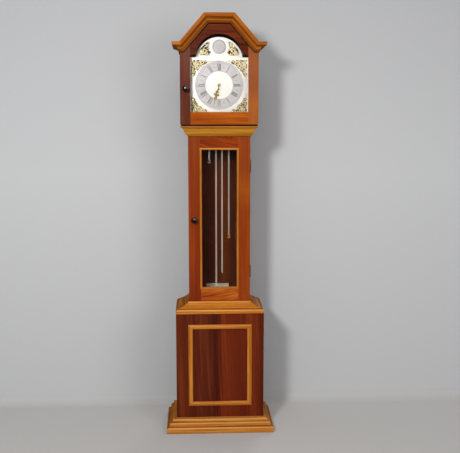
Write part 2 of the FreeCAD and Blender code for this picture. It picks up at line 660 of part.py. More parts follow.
# Each knuckle is split in three along its height: the case leaf has the outer barrels
lowSplitShare, highSplitShare = 0.3, 0.7
slackShare = number("fitGap") / number("hingeHeight") / 2
caseBarrelShares = [(0, lowSplitShare), (highSplitShare, 1)]
doorBarrelShares = [(lowSplitShare + slackShare, highSplitShare - slackShare)]
leafClear = number("fitGap") / 4
keep(feature("trunk_hinges", hingeShape(hingeLevels, caseBarrelShares, number(hingeY) + leafClear, True)))
keep(feature("trunk_door_hinge_leaves", hingeShape(
    hingeLevels, doorBarrelShares, number(hingeY) - leafClear - number("hingeThick"), False)))

# Hood door: stiles up to the crown, bottom rail, arched top rail, glass, knob and pivots
hoodDoorBottom = f"({hoodFloor} + hoodDoorGap)"
hoodDoorFoot = f"({eaveLevel} - crownRelief)"
reliefTurn = f"(crownRelief * {mitreSlope})"
slopeAtStile = f"({hoodDoorFoot} + ({eaveHalf} - {reliefTurn} - {hoodWindowHalf}) * tan({gableAngle}))"
shoulder = f"({eaveLevel} - shoulderDrop)"
archMiddle = f"({shoulder} - archDrop)"
archRadius = f"min({hoodWindowHalf} - archEar; {ridgeLevel} - archBar - {archMiddle})"
archHalf = f"sqrt({archRadius} * {archRadius} - archDrop * archDrop)"
hoodWindowBottom = f"({hoodDoorBottom} + hoodBottomRail)"


def rebate(body, outline):
    """Seat for the glass, cut into the back face of a door member."""
    cut = newSketch(body, "XZ", "Rebate")
    drawOutline(cut, outline)
    cut.setExpression(".AttachmentOffset.Base.z", linked("rebateDepth - doorThick"))
    pocket(body, cut, f"rebateDepth + {over}")


for name, side in (("left", "-"), ("right", "")):
    stile = frontPanel("hood_door_stile_" + name, [
        (side + hoodWindowHalf, hoodDoorBottom), (side + hoodHalf, hoodDoorBottom),
        (side + hoodHalf, hoodDoorFoot), (f"{side}({eaveHalf} - {reliefTurn})", hoodDoorFoot),
        (side + hoodWindowHalf, slopeAtStile)], hoodFront, "doorThick")
    rebate(stile, [
        (f"{side}({hoodWindowHalf} - {over})", f"{hoodWindowBottom} - rebateWidth"),
        (f"{side}({hoodWindowHalf} + rebateWidth)", f"{hoodWindowBottom} - rebateWidth"),
        (f"{side}({hoodWindowHalf} + rebateWidth)", f"{shoulder} + rebateWidth"),
        (f"{side}({hoodWindowHalf} - {over})", f"{shoulder} + rebateWidth")])
    keep(stile)
bottomRail = frontPanel("hood_door_rail_bottom", [
    (f"-{hoodWindowHalf}", hoodDoorBottom), (hoodWindowHalf, hoodDoorBottom),
    (hoodWindowHalf, hoodWindowBottom), (f"-{hoodWindowHalf}", hoodWindowBottom)], hoodFront, "doorThick")
rebate(bottomRail, [
    (f"-{hoodWindowHalf} - {over}", f"{hoodWindowBottom} - rebateWidth"),
    (f"{hoodWindowHalf} + {over}", f"{hoodWindowBottom} - rebateWidth"),
    (f"{hoodWindowHalf} + {over}", f"{hoodWindowBottom} + {over}"),
    (f"-{hoodWindowHalf} - {over}", f"{hoodWindowBottom} + {over}")])
keep(bottomRail)

archTop = f"({archMiddle} + {archRadius})"
archRail = frontPanel("hood_door_rail_arch", [
    (f"-{hoodWindowHalf}", slopeAtStile), (f"-{hoodWindowHalf}", shoulder), (f"-{archHalf}", shoulder),
    ("0", archTop, archRadius, -1), (archHalf, shoulder, archRadius, -1),
    (hoodWindowHalf, shoulder), (hoodWindowHalf, slopeAtStile),
    (f"{ridgeHalf} - {reliefTurn}", f"{ridgeLevel} - crownRelief"),
    (f"-({ridgeHalf} - {reliefTurn})", f"{ridgeLevel} - crownRelief")], hoodFront, "doorThick")
rebateRadius = f"({archRadius} + rebateWidth)"
rebateShoulder = f"({shoulder} + rebateWidth)"
rebateArchHalf = (f"sqrt({rebateRadius} * {rebateRadius}"
                  f" - ({rebateShoulder} - {archMiddle}) * ({rebateShoulder} - {archMiddle}))")
rebate(archRail, [
    (f"-({hoodWindowHalf} + {over})", f"{shoulder} - {over}"),
    (f"{hoodWindowHalf} + {over}", f"{shoulder} - {over}"),
    (f"{hoodWindowHalf} + {over}", rebateShoulder), (rebateArchHalf, rebateShoulder),
    ("0", f"{archMiddle} + {rebateRadius}", rebateRadius, 1),
    (f"-{rebateArchHalf}", rebateShoulder, rebateRadius, 1),
    (f"-({hoodWindowHalf} + {over})", rebateShoulder)])
keep(archRail)

paneHalf = f"({hoodWindowHalf} + rebateWidth - fitGap / 2)"
paneRadius = f"({rebateRadius} - fitGap / 2)"
paneShoulder = f"({rebateShoulder} - fitGap / 2)"
paneArchHalf = (f"sqrt({paneRadius} * {paneRadius}"
                f" - ({paneShoulder} - {archMiddle}) * ({paneShoulder} - {archMiddle}))")
paneBottom = f"({hoodWindowBottom} - rebateWidth + fitGap / 2)"
keep(frontPanel("hood_door_glass", [
    (f"-{paneHalf}", paneBottom), (paneHalf, paneBottom), (paneHalf, paneShoulder),
    (paneArchHalf, paneShoulder), ("0", f"{archMiddle} + {paneRadius}", paneRadius, 1),
    (f"-{paneArchHalf}", paneShoulder, paneRadius, 1), (f"-{paneHalf}", paneShoulder)],
    f"{hoodFront} + doorThick - rebateDepth + fitGap / 2", "glassThick"))
keep(knob("hood_door_knob", "hoodKnobRadius", f"hoodKnobInset - {hoodHalf}", hoodFront,
          f"{hoodFloor} + hoodKnobHeight"))
lowerReach = "(hoodDoorGap + pivotReach)"
upperReach = "(crownRelief + pivotReach - fitGap)"
pivots = []
for name, foot, length in (("lower", f"{hoodDoorBottom} - {lowerReach}", lowerReach),
                           ("upper", hoodDoorFoot, upperReach)):
    pin = document.addObject("Part::Cylinder", "hood_door_pivot_" + name)
    pin.Label = pin.Name
    bind(pin, Radius="pivotRadius", Height=length)
    place(pin, pivotX, pivotY, foot)
    pivots.append(pin)
keep(group("hood_door_pivots", pivots))

# Dial: break-arch plate on four feet, chapter ring, cast corner and arch pieces, arch boss
dialArchLevel = f"({dialHigh} - dialArchDrop)"
dialArchRadius = f"({archRadius} + dialArchLap)"
dialArchHalf = f"sqrt({dialArchRadius} * {dialArchRadius} - dialArchDrop * dialArchDrop)"
cannonShare, pipeShare = 1.3, 2.2      # radii of the cannon pipe and the hour pipe, in arbor radii
cannonRadius = f"(arborRadius * {cannonShare})"
hourPipe = f"(arborRadius * {pipeShare})"
dialPlate = frontPanel("dial_plate", [
    (f"-{dialHalf}", dialLow), (dialHalf, dialLow), (dialHalf, dialHigh), (dialArchHalf, dialHigh),
    ("0", f"{dialArchLevel} + {dialArchRadius}", dialArchRadius, 1),
    (f"-{dialArchHalf}", dialHigh, dialArchRadius, 1), (f"-{dialHalf}", dialHigh)],
    dialFront, "dialThick", holes=[("0", dialCentreLevel, f"{hourPipe} + fitGap")])
footSketch = newSketch(dialPlate, "XZ", "DialFeet")
plateHalf = "(plateWidth / 2)"
plateTop = f"({seatTop} + plateHeight)"
footX = f"({plateHalf} - pillarInset)"
for x in (f"-{footX}", footX):
    for z in (f"{seatTop} + 2 * pillarInset", f"{plateTop} - 2 * pillarInset"):
        drawCircle(footSketch, x, z, "dialFootRadius")
footSketch.setExpression(".AttachmentOffset.Base.z", linked("-dialThick"))
pad(dialPlate, footSketch, "motionSpace", backward=True)
keep(dialPlate)

ringOuterShare, ringInnerShare = 0.7857, 0.45      # the chapter ring's radii, in dial reaches
chapterRing = newBody("chapter_ring")
ringSketch = newSketch(chapterRing, "XZ")
drawCircle(ringSketch, "0", "0", f"{ringOuterShare} * {dialReach}")
drawCircle(ringSketch, "0", "0", f"{ringInnerShare} * {dialReach}")
pad(chapterRing, ringSketch, "ringThick")
place(chapterRing, y=dialFront, z=dialCentreLevel)
keep(chapterRing)

# A corner casting: a leafy scroll that fills the corner outside the chapter ring, as shares of its leg
cornerLeg = f"({dialReach} - castingInset)"
spandrelShares = [
    (0.97, 0.97), (0.60, 0.97), (0.545, 0.905), (0.47, 0.95), (0.40, 0.90), (0.475, 0.80, 0.10, 1),
    (0.585, 0.735, 0.12, -1), (0.66, 0.66), (0.735, 0.585), (0.80, 0.475, 0.12, -1), (0.90, 0.40, 0.10, 1),
    (0.95, 0.47), (0.905, 0.545), (0.97, 0.60),
]


def castPiece(label, shares, leg, x, z, mirrorX, mirrorZ, eyes=()):
    """A flat brass casting from an outline in shares of a leg, mirrored into its corner."""
    signX = "-" if mirrorX else ""
    signZ = "-" if mirrorZ else ""
    outline = []
    for across, up, *bend in shares:
        corner = (f"{signX}{across} * {leg}", f"{signZ}{up} * {leg}")
        if bend:
            corner += (f"{bend[0]} * {leg}", bend[1] * (-1 if mirrorX != mirrorZ else 1))
        outline.append(corner)
    body = newBody(label)
    sketch = newSketch(body, "XZ")
    drawOutline(sketch, outline)
    for across, up, radius in eyes:
        drawCircle(sketch, f"{signX}{across} * {leg}", f"{signZ}{up} * {leg}", f"{radius} * {leg}")
    pad(body, sketch, "spandrelThick")
    place(body, x, dialFront, z)
    return body


cornerEyes = [(0.83, 0.83, 0.055)]
archShares = [
    (0.40, 0.08), (0.80, 0.08), (0.86, 0.16), (0.44, 0.65, 0.93, 1), (0.38, 0.62),
    (0.345, 0.21, 0.42, -1),
]
archEyes = [(0.71, 0.21, 0.045), (0.52, 0.47, 0.04)]
castings = []
for vertical, up in (("lower", False), ("upper", True)):
    for sideName, right in (("left", False), ("right", True)):
        castings.append(castPiece(f"corner_casting_{vertical}_{sideName}", spandrelShares, cornerLeg,
                                  "0", dialCentreLevel if not up else f"{dialHigh} - {dialReach}",
                                  not right, not up, cornerEyes))
for sideName, right in (("left", False), ("right", True)):
    castings.append(castPiece(f"arch_casting_{sideName}", archShares, dialArchRadius, "0", dialHigh,
                              not right, False, archEyes))
# The boss's height over the arch's centre, its radius and its ring's, in arch radii
bossRiseShare, bossShare, bossRingShare = 0.607, 0.299, 0.383
bossLevel = f"({dialArchLevel} + {bossRiseShare} * {archRadius})"
bossRadius = f"({bossShare} * {archRadius})"
bossRing = newBody("arch_boss_ring")
bossRingSketch = newSketch(bossRing, "XZ")
drawCircle(bossRingSketch, "0", "0", f"{bossRingShare} * {archRadius}")
drawCircle(bossRingSketch, "0", "0", f"{bossRadius} + fitGap / 2")
pad(bossRing, bossRingSketch, "spandrelThick")
place(bossRing, y=dialFront, z=bossLevel)
keep(group("spandrels", castings + [bossRing]))

boss = newBody("arch_boss")
bossSketch = newSketch(boss, "XY")
drawOutline(bossSketch, [
    ("0", "0"), (bossRadius, "0"), (bossRadius, "-bossThick / 2"),
    (f"{bossRadius} - bossThick", "-bossThick"), ("0", "-bossThick")])
bossTurning = boss.newObject("PartDesign::Revolution", "Revolution")
bossTurning.Profile = bossSketch
bossTurning.ReferenceAxis = (bossSketch, ["V_Axis"])
bossTurning.Angle = 360
place(boss, y=dialFront, z=bossLevel)
keep(boss)

# Hands, drawn upright on their own centre and turned to the time
handFront = f"({dialFront} - ringThick - handSpace)"
minuteHandFront = f"({handFront} - handThick - handSpace)"


def hand(label, length, shares, bore, front, angle):
    """A flat sawn hand; shares are of its length, round from the boss. The boss keeps a wall round its bore."""
    bossShare = shares[1][2]
    boss = f"max({bossShare} * {length}; {bore} + handWall)"
    corners = []
    for index, (across, up, *bend) in enumerate(shares):
        onBoss = index < 3 or index == len(shares) - 1
        high = f"{up / bossShare} * {boss}" if onBoss else f"{up} * {length}"
        wide = f"{across / bossShare} * {boss}" if index < 2 else f"{across} * {length}"
        radius = [f"{bend[0] / bossShare} * {boss}" if onBoss else f"{bend[0]} * {length}"] if bend else []
        corners.append((wide, high, *radius, *bend[1:]))
    body = newBody(label)
    sketch = newSketch(body, "XZ")
    drawOutline(sketch, corners)
    drawCircle(sketch, "0", "0", bore)
    pad(body, sketch, "handThick", backward=True)
    place(body, "0", front, dialCentreLevel, turn=angle)
    return body


minuteShares = [
    (-0.055, -0.02), (0.055, -0.02, 0.06, 1), (0.014, 0.07, 0.07, 1), (0.012, 0.15),
    (0.058, 0.26, 0.14, -1), (0.050, 0.40, 0.13, 1), (-0.006, 0.56, 0.30, -1), (0.036, 0.72, 0.26, 1),
    (0.003, 1.0, 0.80, 1), (-0.003, 1.0), (-0.004, 0.74, 0.50, -1), (-0.042, 0.56, 0.30, -1),
    (0.004, 0.38, 0.32, 1), (-0.012, 0.26, 0.12, 1), (-0.058, 0.20, 0.08, -1), (-0.012, 0.12, 0.09, 1),
    (-0.014, 0.07),
]
hourShares = [
    (-0.10, -0.03), (0.10, -0.03, 0.104, 1), (0.022, 0.115, 0.12, 1), (0.022, 0.34),
    (0.10, 0.42, 0.11, -1), (0.03, 0.52, 0.09, 1), (0.03, 0.58), (0.13, 0.54, 0.09, -1),
    (0.17, 0.64, 0.07, 1), (0.06, 0.70, 0.10, 1), (0.10, 0.82, 0.12, -1), (0.004, 1.0, 0.26, 1),
    (-0.004, 1.0), (-0.10, 0.82, 0.26, 1), (-0.06, 0.70, 0.12, -1), (-0.17, 0.64, 0.10, 1),
    (-0.13, 0.54, 0.07, 1), (-0.03, 0.58, 0.09, -1), (-0.03, 0.52), (-0.10, 0.42, 0.09, 1),
    (-0.022, 0.34, 0.11, -1), (-0.022, 0.115),
]
minuteReachShare, hourReachShare = 0.764, 0.514      # the hands' lengths, in dial reaches
keep(hand("minute_hand", f"({minuteReachShare} * {dialReach})", minuteShares,
          f"{cannonRadius} + pivotClear", minuteHandFront, "minuteAngle"))
keep(hand("hour_hand", f"({hourReachShare} * {dialReach})", hourShares, f"{hourPipe} + pivotClear",
          handFront, "hourAngle"))

# Seat board with a slot for each chain
seatBoard = newBody("seat_board")
seatSketch = newSketch(seatBoard, "XY")
seatNear = f"({trunkShellFront} - seatFront)"
drawRectangle(seatSketch, f"-{trunkHalf}", seatNear, trunkHalf, f"{seatNear} + seatDepth")
for side in ("-", ""):
    middle = f"{side}{sprocketHalf}"
    drawRectangle(seatSketch, f"{middle} - chainSlotLength / 2", f"{chainPlane} - chainSlotWidth / 2",
                  f"{middle} + chainSlotLength / 2", f"{chainPlane} + chainSlotWidth / 2")
pad(seatBoard, seatSketch, "seatThick")
place(seatBoard, z=cheekTop)
keep(seatBoard)

# Train layout: each wheel's centre in X and Z, from the tooth counts and modules
dialCentreZ = number(dialCentreLevel)
leaves = int(number("pinionLeaves"))
centreAt = (0.0, dialCentreZ)
goingAt = (-number(sprocketHalf), number(sprocketLevel))
strikeAt = (number(sprocketHalf), number(sprocketLevel))
centreDistance = number("centreModule") * (number("centreTeeth") + leaves) / 2
thirdDistance = number("thirdModule") * (number("thirdTeeth") + leaves) / 2
escapeRise = number("escapeRise")
thirdCosine = (centreDistance ** 2 + escapeRise ** 2 - thirdDistance ** 2) / (2 * centreDistance * escapeRise)
thirdTurn = math.acos(thirdCosine)
thirdAt = (-centreDistance * math.sin(thirdTurn), dialCentreZ + centreDistance * math.cos(thirdTurn))
escapeAt = (0.0, dialCentreZ + escapeRise)
anchorAt = (0.0, escapeAt[1] + number("anchorRise"))
motionDistance = number("motionModule") * (number("cannonTeeth") + number("minuteWheelTeeth")) / 2
minuteAt = (motionDistance, dialCentreZ)
hourModule = 2 * motionDistance / (number("minutePinionTeeth") + number("hourWheelTeeth"))
plateSpots = (goingAt, strikeAt, centreAt, thirdAt, escapeAt, anchorAt)

# Front and back plates; the pillars are riveted to the back plate, the motion-work post to the front one
plateOutline = [(f"-{plateHalf}", seatTop), (plateHalf, seatTop), (plateHalf, plateTop),
                (f"-{plateHalf}", plateTop)]
frontPlateFront = f"({dialBack} + motionSpace)"
backPlateBack = f"({backPlateFront} + plateThick)"
pivotHoles = [(str(x), str(z), "pivotPin + pivotClear") for x, z in plateSpots if x != 0 or z != dialCentreZ]
frontPlate = frontPanel("movement_front_plate", plateOutline, frontPlateFront, "plateThick",
                        holes=pivotHoles + [("0", dialCentreLevel, f"{cannonRadius} + pivotClear")])
postSketch = newSketch(frontPlate, "XZ", "MotionPost")
drawCircle(postSketch, str(motionDistance), dialCentreLevel, "arborRadius")
postShare = 0.72      # the post's length, in motion-work spaces
pad(frontPlate, postSketch, f"{postShare} * motionSpace")
keep(frontPlate)

backPlate = frontPanel("movement_back_plate", plateOutline, backPlateFront, "plateThick",
                       holes=pivotHoles + [("0", dialCentreLevel, "pivotPin + pivotClear")])
pillarSketch = newSketch(backPlate, "XZ", "Pillars")
pillarX = f"({plateHalf} - pillarInset)"
for x in (f"-{pillarX}", pillarX):
    for z in (f"{seatTop} + pillarInset", f"{plateTop} - pillarInset"):
        drawCircle(pillarSketch, x, z, "pillarRadius")
pad(backPlate, pillarSketch, "plateGap")
keep(backPlate)


# Teeth as shares of the module, and half a tooth's tip as a share of the pitch
dedendumShare, addendumShare, toothTipShare = 1.25, 0.9, 0.04
# A crossed wheel's hub and arm width, as shares of its rim's inside radius, and its rim in modules
hubShare, armShare, rimShare = 0.3, 0.16, 4


def toothedDisc(teeth, module, thickness, phase, front):
    """Wheel blank with tapered teeth, extruded towards the back; angles run from +X to +Z."""
    pitch = 2 * math.pi / teeth
    pitchRadius = module * teeth / 2
    root = pitchRadius - dedendumShare * module
    tip = pitchRadius + addendumShare * module
    points = []
    for tooth in range(teeth):
        for share, radius in ((-0.5, root), (-toothTipShare, tip), (toothTipShare, tip)):
            angle = phase + (tooth + share) * pitch
            points.append(Vector(radius * math.cos(angle), front, radius * math.sin(angle)))
    outline = Part.makePolygon(points + points[:1])
    return Part.Face(outline).extrude(Vector(0, thickness, 0))


def crossings(inner, outer, armWidth, thickness, front, arms=4):
    """The windows between a wheel's arms."""
    windows = []
    for arm in range(arms):
        low = 2 * math.pi * arm / arms
        high = 2 * math.pi * (arm + 1) / arms
        corners = []
        for radius in (inner, outer):
            lean = math.asin(armWidth / 2 / radius)
            corners.append([low + lean, (low + high) / 2, high - lean])
        rings = []
        for radius, angles in zip((inner, outer), corners):
            ends = [Vector(radius * math.cos(a), front, radius * math.sin(a)) for a in angles]
            rings.append((Part.Arc(*ends).toShape(), ends))
        (innerArc, innerEnds), (outerArc, outerEnds) = rings
        edges = [innerArc, Part.makeLine(innerEnds[2], outerEnds[2]), outerArc,
                 Part.makeLine(outerEnds[0], innerEnds[0])]
        windows.append(Part.Face(Part.Wire(Part.__sortEdges__(edges))).extrude(Vector(0, thickness, 0)))
    return windows


def crossedWheel(teeth, module, thickness, phase, front):
    """A brass wheel with its rim, four arms and hub."""
    disc = toothedDisc(teeth, module, thickness, phase, front)
    rim = module * teeth / 2 - rimShare * module
    return disc.cut(crossings(hubShare * rim, rim, armShare * rim, thickness, front))


def cylinder(radius, start, end):
    return Part.makeCylinder(radius, end - start, Vector(0, start, 0), Vector(0, 1, 0))


def meshed(driverTeeth, driverPhase, direction, teeth):
    """Phase of a wheel whose gap meets the driver's tooth in the given direction from the driver."""
    driverPitch = 2 * math.pi / driverTeeth
    offset = (driverPhase - direction) % driverPitch
    pitch = 2 * math.pi / teeth
    return direction + math.pi - offset * driverTeeth / teeth + pitch / 2


def bearing(a, b):
    return math.atan2(b[1] - a[1], b[0] - a[0])


frontFace = number(frontPlateFront)
plateBack = number(frontPlateBack)
plateFar = number(backPlateFront)
arborRadius = number("arborRadius")
shoulderRun = number("fitGap")
plateSpan = plateFar - plateBack
plane = number(chainPlane)
# Planes of the wheels between the plates, as shares of the gap between them
centrePlaneShare, greatPlaneShare, thirdPlaneShare, strikePlaneShare, escapePlaneShare = (
    0.11, 0.31, 0.66, 0.66, 0.85)
colletShare = 2.5      # a great wheel's collet, in arbor radii
flangeShare = 0.7      # a chain wheel's flange thickness, in link thicknesses


def atShare(share):
    return plateBack + share * plateSpan


def arbor():
    """Steel arbor between the plates with a pivot in each of them."""
    body = cylinder(arborRadius, plateBack + shoulderRun, plateFar - shoulderRun)
    return body.fuse(cylinder(number("pivotPin"), frontFace, number(backPlateBack)))


def chainWheel():
    """Grooved chain wheel on its arbor."""
    groove = number("linkWidth") / 2 + number("fitGap")
    wall = flangeShare * number("linkWire")
    floor = number("chainRadius") - number("linkWidth") / 2 - number("fitGap")
    flange = number("chainRadius") - number("linkWire") / 2
    parts = [cylinder(flange, plane - groove - wall, plane - groove),
             cylinder(flange, plane + groove, plane + groove + wall)]
    return cylinder(floor, plane - groove - wall, plane + groove + wall).fuse(parts)


def pinion(module, count, length, phase, middle):
    return toothedDisc(count, module, length, phase, middle - length / 2)


def wheelNode(label, shapes, at):
    solid = shapes[0].fuse(shapes[1:]).removeSplitter()
    keep(feature(label, solid, x=str(at[0]), z=str(at[1])))


wheelThick = number("wheelThick")
greatThick = number("greatThick")
pinionLength = number("pinionLength")
greatPhase = 0.0
centrePhase = 0.0
thirdPhase = 0.0

greatFront = atShare(greatPlaneShare) - greatThick
wheelNode("going_great_wheel", [
    arbor(), chainWheel(),
    crossedWheel(int(number("greatTeeth")), number("greatModule"), greatThick, greatPhase, greatFront),
    cylinder(colletShare * arborRadius, greatFront, plane)], goingAt)
strikeFront = atShare(strikePlaneShare)
wheelNode("strike_great_wheel", [
    arbor(), chainWheel(),
    crossedWheel(int(number("strikeTeeth")), number("greatModule"), greatThick, greatPhase, strikeFront),
    cylinder(colletShare * arborRadius, plane, strikeFront + greatThick)], strikeAt)

# Centre arbor: wheel, pinion, cannon pinion and pipe to the minute hand, and the hand's dome nut
centreFront = atShare(centrePlaneShare) - wheelThick
cannonOut = number(minuteHandFront)
nutDepthShare, nutBaseShare, nutTopShare = 2, 3, 0.55      # in hand thicknesses, arbor radii, base radii
nutDepth = nutDepthShare * number("handThick")
nutRadius = nutBaseShare * arborRadius
centrePinionPhase = meshed(number("greatTeeth"), greatPhase, bearing(goingAt, centreAt), leaves)
cannonPhase = 0.0
cannonLengthShare = 0.3      # the cannon pinion's length, in motion-work spaces
cannonLength = cannonLengthShare * number("motionSpace")
nut = Part.makeCone(nutRadius * nutTopShare, nutRadius, nutDepth, Vector(0, cannonOut - nutDepth, 0),
                    Vector(0, 1, 0))
wheelNode("centre_wheel", [
    cylinder(number(cannonRadius), cannonOut, plateBack + shoulderRun),
    cylinder(arborRadius, plateBack, plateFar - shoulderRun),
    cylinder(number("pivotPin"), plateFar - 2 * shoulderRun, number(backPlateBack)),
    crossedWheel(int(number("centreTeeth")), number("centreModule"), wheelThick, centrePhase, centreFront),
    pinion(number("greatModule"), leaves, pinionLength, centrePinionPhase, greatFront + greatThick / 2),
    toothedDisc(int(number("cannonTeeth")), number("motionModule"), cannonLength, cannonPhase,
                frontFace - shoulderRun - cannonLength), nut], centreAt)

thirdPinionPhase = meshed(number("centreTeeth"), centrePhase, bearing(centreAt, thirdAt), leaves)
thirdFront = atShare(thirdPlaneShare)
wheelNode("third_wheel", [
    arbor(),
    crossedWheel(int(number("thirdTeeth")), number("thirdModule"), wheelThick, thirdPhase, thirdFront),
    pinion(number("centreModule"), leaves, pinionLength, thirdPinionPhase,
           plateBack + shoulderRun + pinionLength / 2)], thirdAt)

escapePinionPhase = meshed(number("thirdTeeth"), thirdPhase, bearing(thirdAt, escapeAt), leaves)
escapeFront = atShare(escapePlaneShare)


# One escape tooth: shares of the pitch along the wheel and of the tip's radius
escapeToothShares = [(-0.45, 0.84), (0.0, 1), (0.12, 0.84)]
escapeRimShare = 0.72


def escapeDisc():
    """Escape wheel with hooked pointed teeth."""
    count = int(number("escapeTeeth"))
    pitch = 2 * math.pi / count
    tip = number("escapeRadius")
    points = []
    for tooth in range(count):
        for share, radiusShare in escapeToothShares:
            angle = -(tooth + share) * pitch
            radius = tip * radiusShare
            points.append(Vector(radius * math.cos(angle), escapeFront, radius * math.sin(angle)))
    disc = Part.Face(Part.makePolygon(points + points[:1])).extrude(Vector(0, wheelThick, 0))
    rim = escapeRimShare * tip
    return disc.cut(crossings(hubShare * rim, rim, armShare * rim, wheelThick, escapeFront))


wheelNode("escape_wheel", [
    arbor(), escapeDisc(), pinion(number("thirdModule"), leaves, pinionLength, escapePinionPhase,
                                  thirdFront + wheelThick / 2)], escapeAt)

# Motion work between the front plate and the dial: the minute wheel's face in cannon lengths and its
# pinion's in motion-work spaces, both forward of the front plate
minuteFaceShare, minutePinionShare = 0.7, 0.66
minuteWheelFront = frontFace - shoulderRun - minuteFaceShare * cannonLength
minutePinionFront = frontFace - minutePinionShare * number("motionSpace")
hourWheelFront = minutePinionFront + shoulderRun
minuteWheelPhase = meshed(number("cannonTeeth"), cannonPhase, bearing(centreAt, minuteAt),
                          number("minuteWheelTeeth"))
minutePinionPhase = 0.0
hourWheelPhase = meshed(number("minutePinionTeeth"), minutePinionPhase, bearing(minuteAt, centreAt),
                        number("hourWheelTeeth"))
postBore = cylinder(arborRadius + number("pivotClear"), minutePinionFront - shoulderRun, frontFace)
minuteWheel = toothedDisc(int(number("minuteWheelTeeth")), number("motionModule"), wheelThick,
                          minuteWheelPhase, minuteWheelFront)
minutePinion = toothedDisc(int(number("minutePinionTeeth")), hourModule,
                           minuteWheelFront - minutePinionFront, minutePinionPhase, minutePinionFront)
keep(feature("minute_wheel", minuteWheel.fuse(minutePinion).cut(postBore).removeSplitter(),
             x=str(minuteAt[0]), z=str(minuteAt[1])))
pipeProudShare = 0.3      # the hour pipe's stand past its hand, in hand thicknesses
hourPipeOut = number(handFront) - pipeProudShare * number("handThick")
hourWheel = toothedDisc(int(number("hourWheelTeeth")), hourModule, wheelThick, hourWheelPhase, hourWheelFront)
hourTube = cylinder(number(hourPipe), hourPipeOut, hourWheelFront + wheelThick)
hourBore = cylinder(number(cannonRadius) + number("pivotClear"), hourPipeOut - shoulderRun,
                    hourWheelFront + wheelThick + shoulderRun)
keep(feature("hour_wheel", hourWheel.fuse(hourTube).cut(hourBore).removeSplitter(), z=dialCentreLevel))

# Anchor over the escape wheel, with the crutch behind the back plate
anchorRise = number("anchorRise")
anchorFront = escapeFront - wheelThick / 2
# Across and up from the anchor's arbor, in shares of its height over the escape wheel
anchorShares = {
    "leftBack": (-0.58, -0.45), "top": (0, 0.14), "rightBack": (0.58, -0.45),
    "rightNib": (0.50, -0.52), "under": (0, -0.14), "leftNib": (-0.50, -0.52),
}
anchorPoints = {name: Vector(across * anchorRise, anchorFront, up * anchorRise)
                for name, (across, up) in anchorShares.items()}
leftBack, leftNib = anchorPoints["leftBack"], anchorPoints["leftNib"]
rightBack, rightNib = anchorPoints["rightBack"], anchorPoints["rightNib"]
anchorEdges = [
    Part.Arc(leftBack, anchorPoints["top"], rightBack).toShape(), Part.makeLine(rightBack, rightNib),
    Part.Arc(rightNib, anchorPoints["under"], leftNib).toShape(), Part.makeLine(leftNib, leftBack)]
anchorPlate = Part.Face(Part.Wire(anchorEdges)).extrude(Vector(0, 2 * wheelThick, 0))
crutchFront = number(backPlateBack) + number("plateThick")
crutchWidth = arborRadius * 2
crutchShare, forkShare = 0.62, 2.4      # the crutch's drop in plate heights, the fork in crutch widths
crutchDrop = crutchShare * number("plateHeight")
crutch = Part.makeBox(crutchWidth, wheelThick, crutchDrop, Vector(-crutchWidth / 2, crutchFront, -crutchDrop))
forkWidth = crutchWidth * forkShare
fork = Part.makeBox(forkWidth, crutchWidth * 3, crutchWidth, Vector(-forkWidth / 2, crutchFront, -crutchDrop))
slot = Part.makeBox(crutchWidth, crutchWidth * 3, crutchWidth * 2,
                    Vector(-crutchWidth / 2, crutchFront + wheelThick, -crutchDrop - crutchWidth / 2))
crutchArbor = cylinder(number("pivotPin"), number(backPlateBack), crutchFront + wheelThick)
wheelNode("anchor", [arbor(), anchorPlate, crutchArbor, crutch, fork.cut(slot)], anchorAt)


def chainLinks(at, side, hookDrop):
    """Chain over a chain wheel: up from the hook, round the top, down to the free end. side is the hook's."""
    radius = number("chainRadius")
    pitch = number("linkPitch")
    link = Part.makeBox(pitch - number("linkGap"), number("linkWidth"), number("linkWire"),
                        Vector(-(pitch - number("linkGap")) / 2, -number("linkWidth") / 2,
                               -number("linkWire") / 2))
    links = []
    for index in range(int(number("chainLength") / pitch)):
        run = (index + 0.5) * pitch
        past = run - hookDrop
        turn = min(max(past / radius, 0.0), math.pi)
        x = at[0] + side * radius * math.cos(turn)
        z = at[1] + radius * math.sin(turn)
        if past < 0:
            z += past
        elif past > math.pi * radius:
            z -= past - math.pi * radius
        twist = FreeCAD.Rotation(Vector(1, 0, 0), 90 * (index % 2))
        lean = FreeCAD.Rotation(Vector(0, -side, 0), 90 + math.degrees(turn))
        links.append(link.copy())
        links[-1].Placement = FreeCAD.Placement(Vector(x, plane, z), lean * twist)
    return Part.makeCompound(links)


goingDrop = number("goingHookDrop")
strikeDrop = number("strikeHookDrop")
keep(feature("going_chain", chainLinks(goingAt, -1, goingDrop)))
keep(feature("strike_chain", chainLinks(strikeAt, 1, strikeDrop)))


eyeShare = 2.2      # the eye's radius in half widths of the bar


def ringAt(radius, half, x, z, front, back):
    """A flat ring of square bar about the Y direction."""
    start = Vector(x, front, z)
    outer = Part.makeCylinder(radius + half, back - front, start, Vector(0, 1, 0))
    return outer.cut(Part.makeCylinder(radius - half, back - front, start, Vector(0, 1, 0)))


def weightHook(x, top):
    """Hook of square bar with an eye, hanging on the chain's last link."""
    wire = number("hookWire")
    radius = number("hookRadius")
    front = plane - wire
    back = plane + wire
    eyeRadius = eyeShare * wire
    foot = top - 2 * eyeRadius - wire - number("hookShank")
    eye = ringAt(eyeRadius, wire, x, top - eyeRadius - wire, front, back)
    shank = Part.makeBox(2 * wire, 2 * wire, number("hookShank"), Vector(x - wire, front, foot))
    bend = ringAt(radius, wire, x, foot - radius, front, back)
    mouth = Part.makeBox(radius + wire, 2 * wire, radius + wire, Vector(x + wire, front, foot - radius))
    return shank.fuse([eye, bend.cut(mouth)]).removeSplitter()


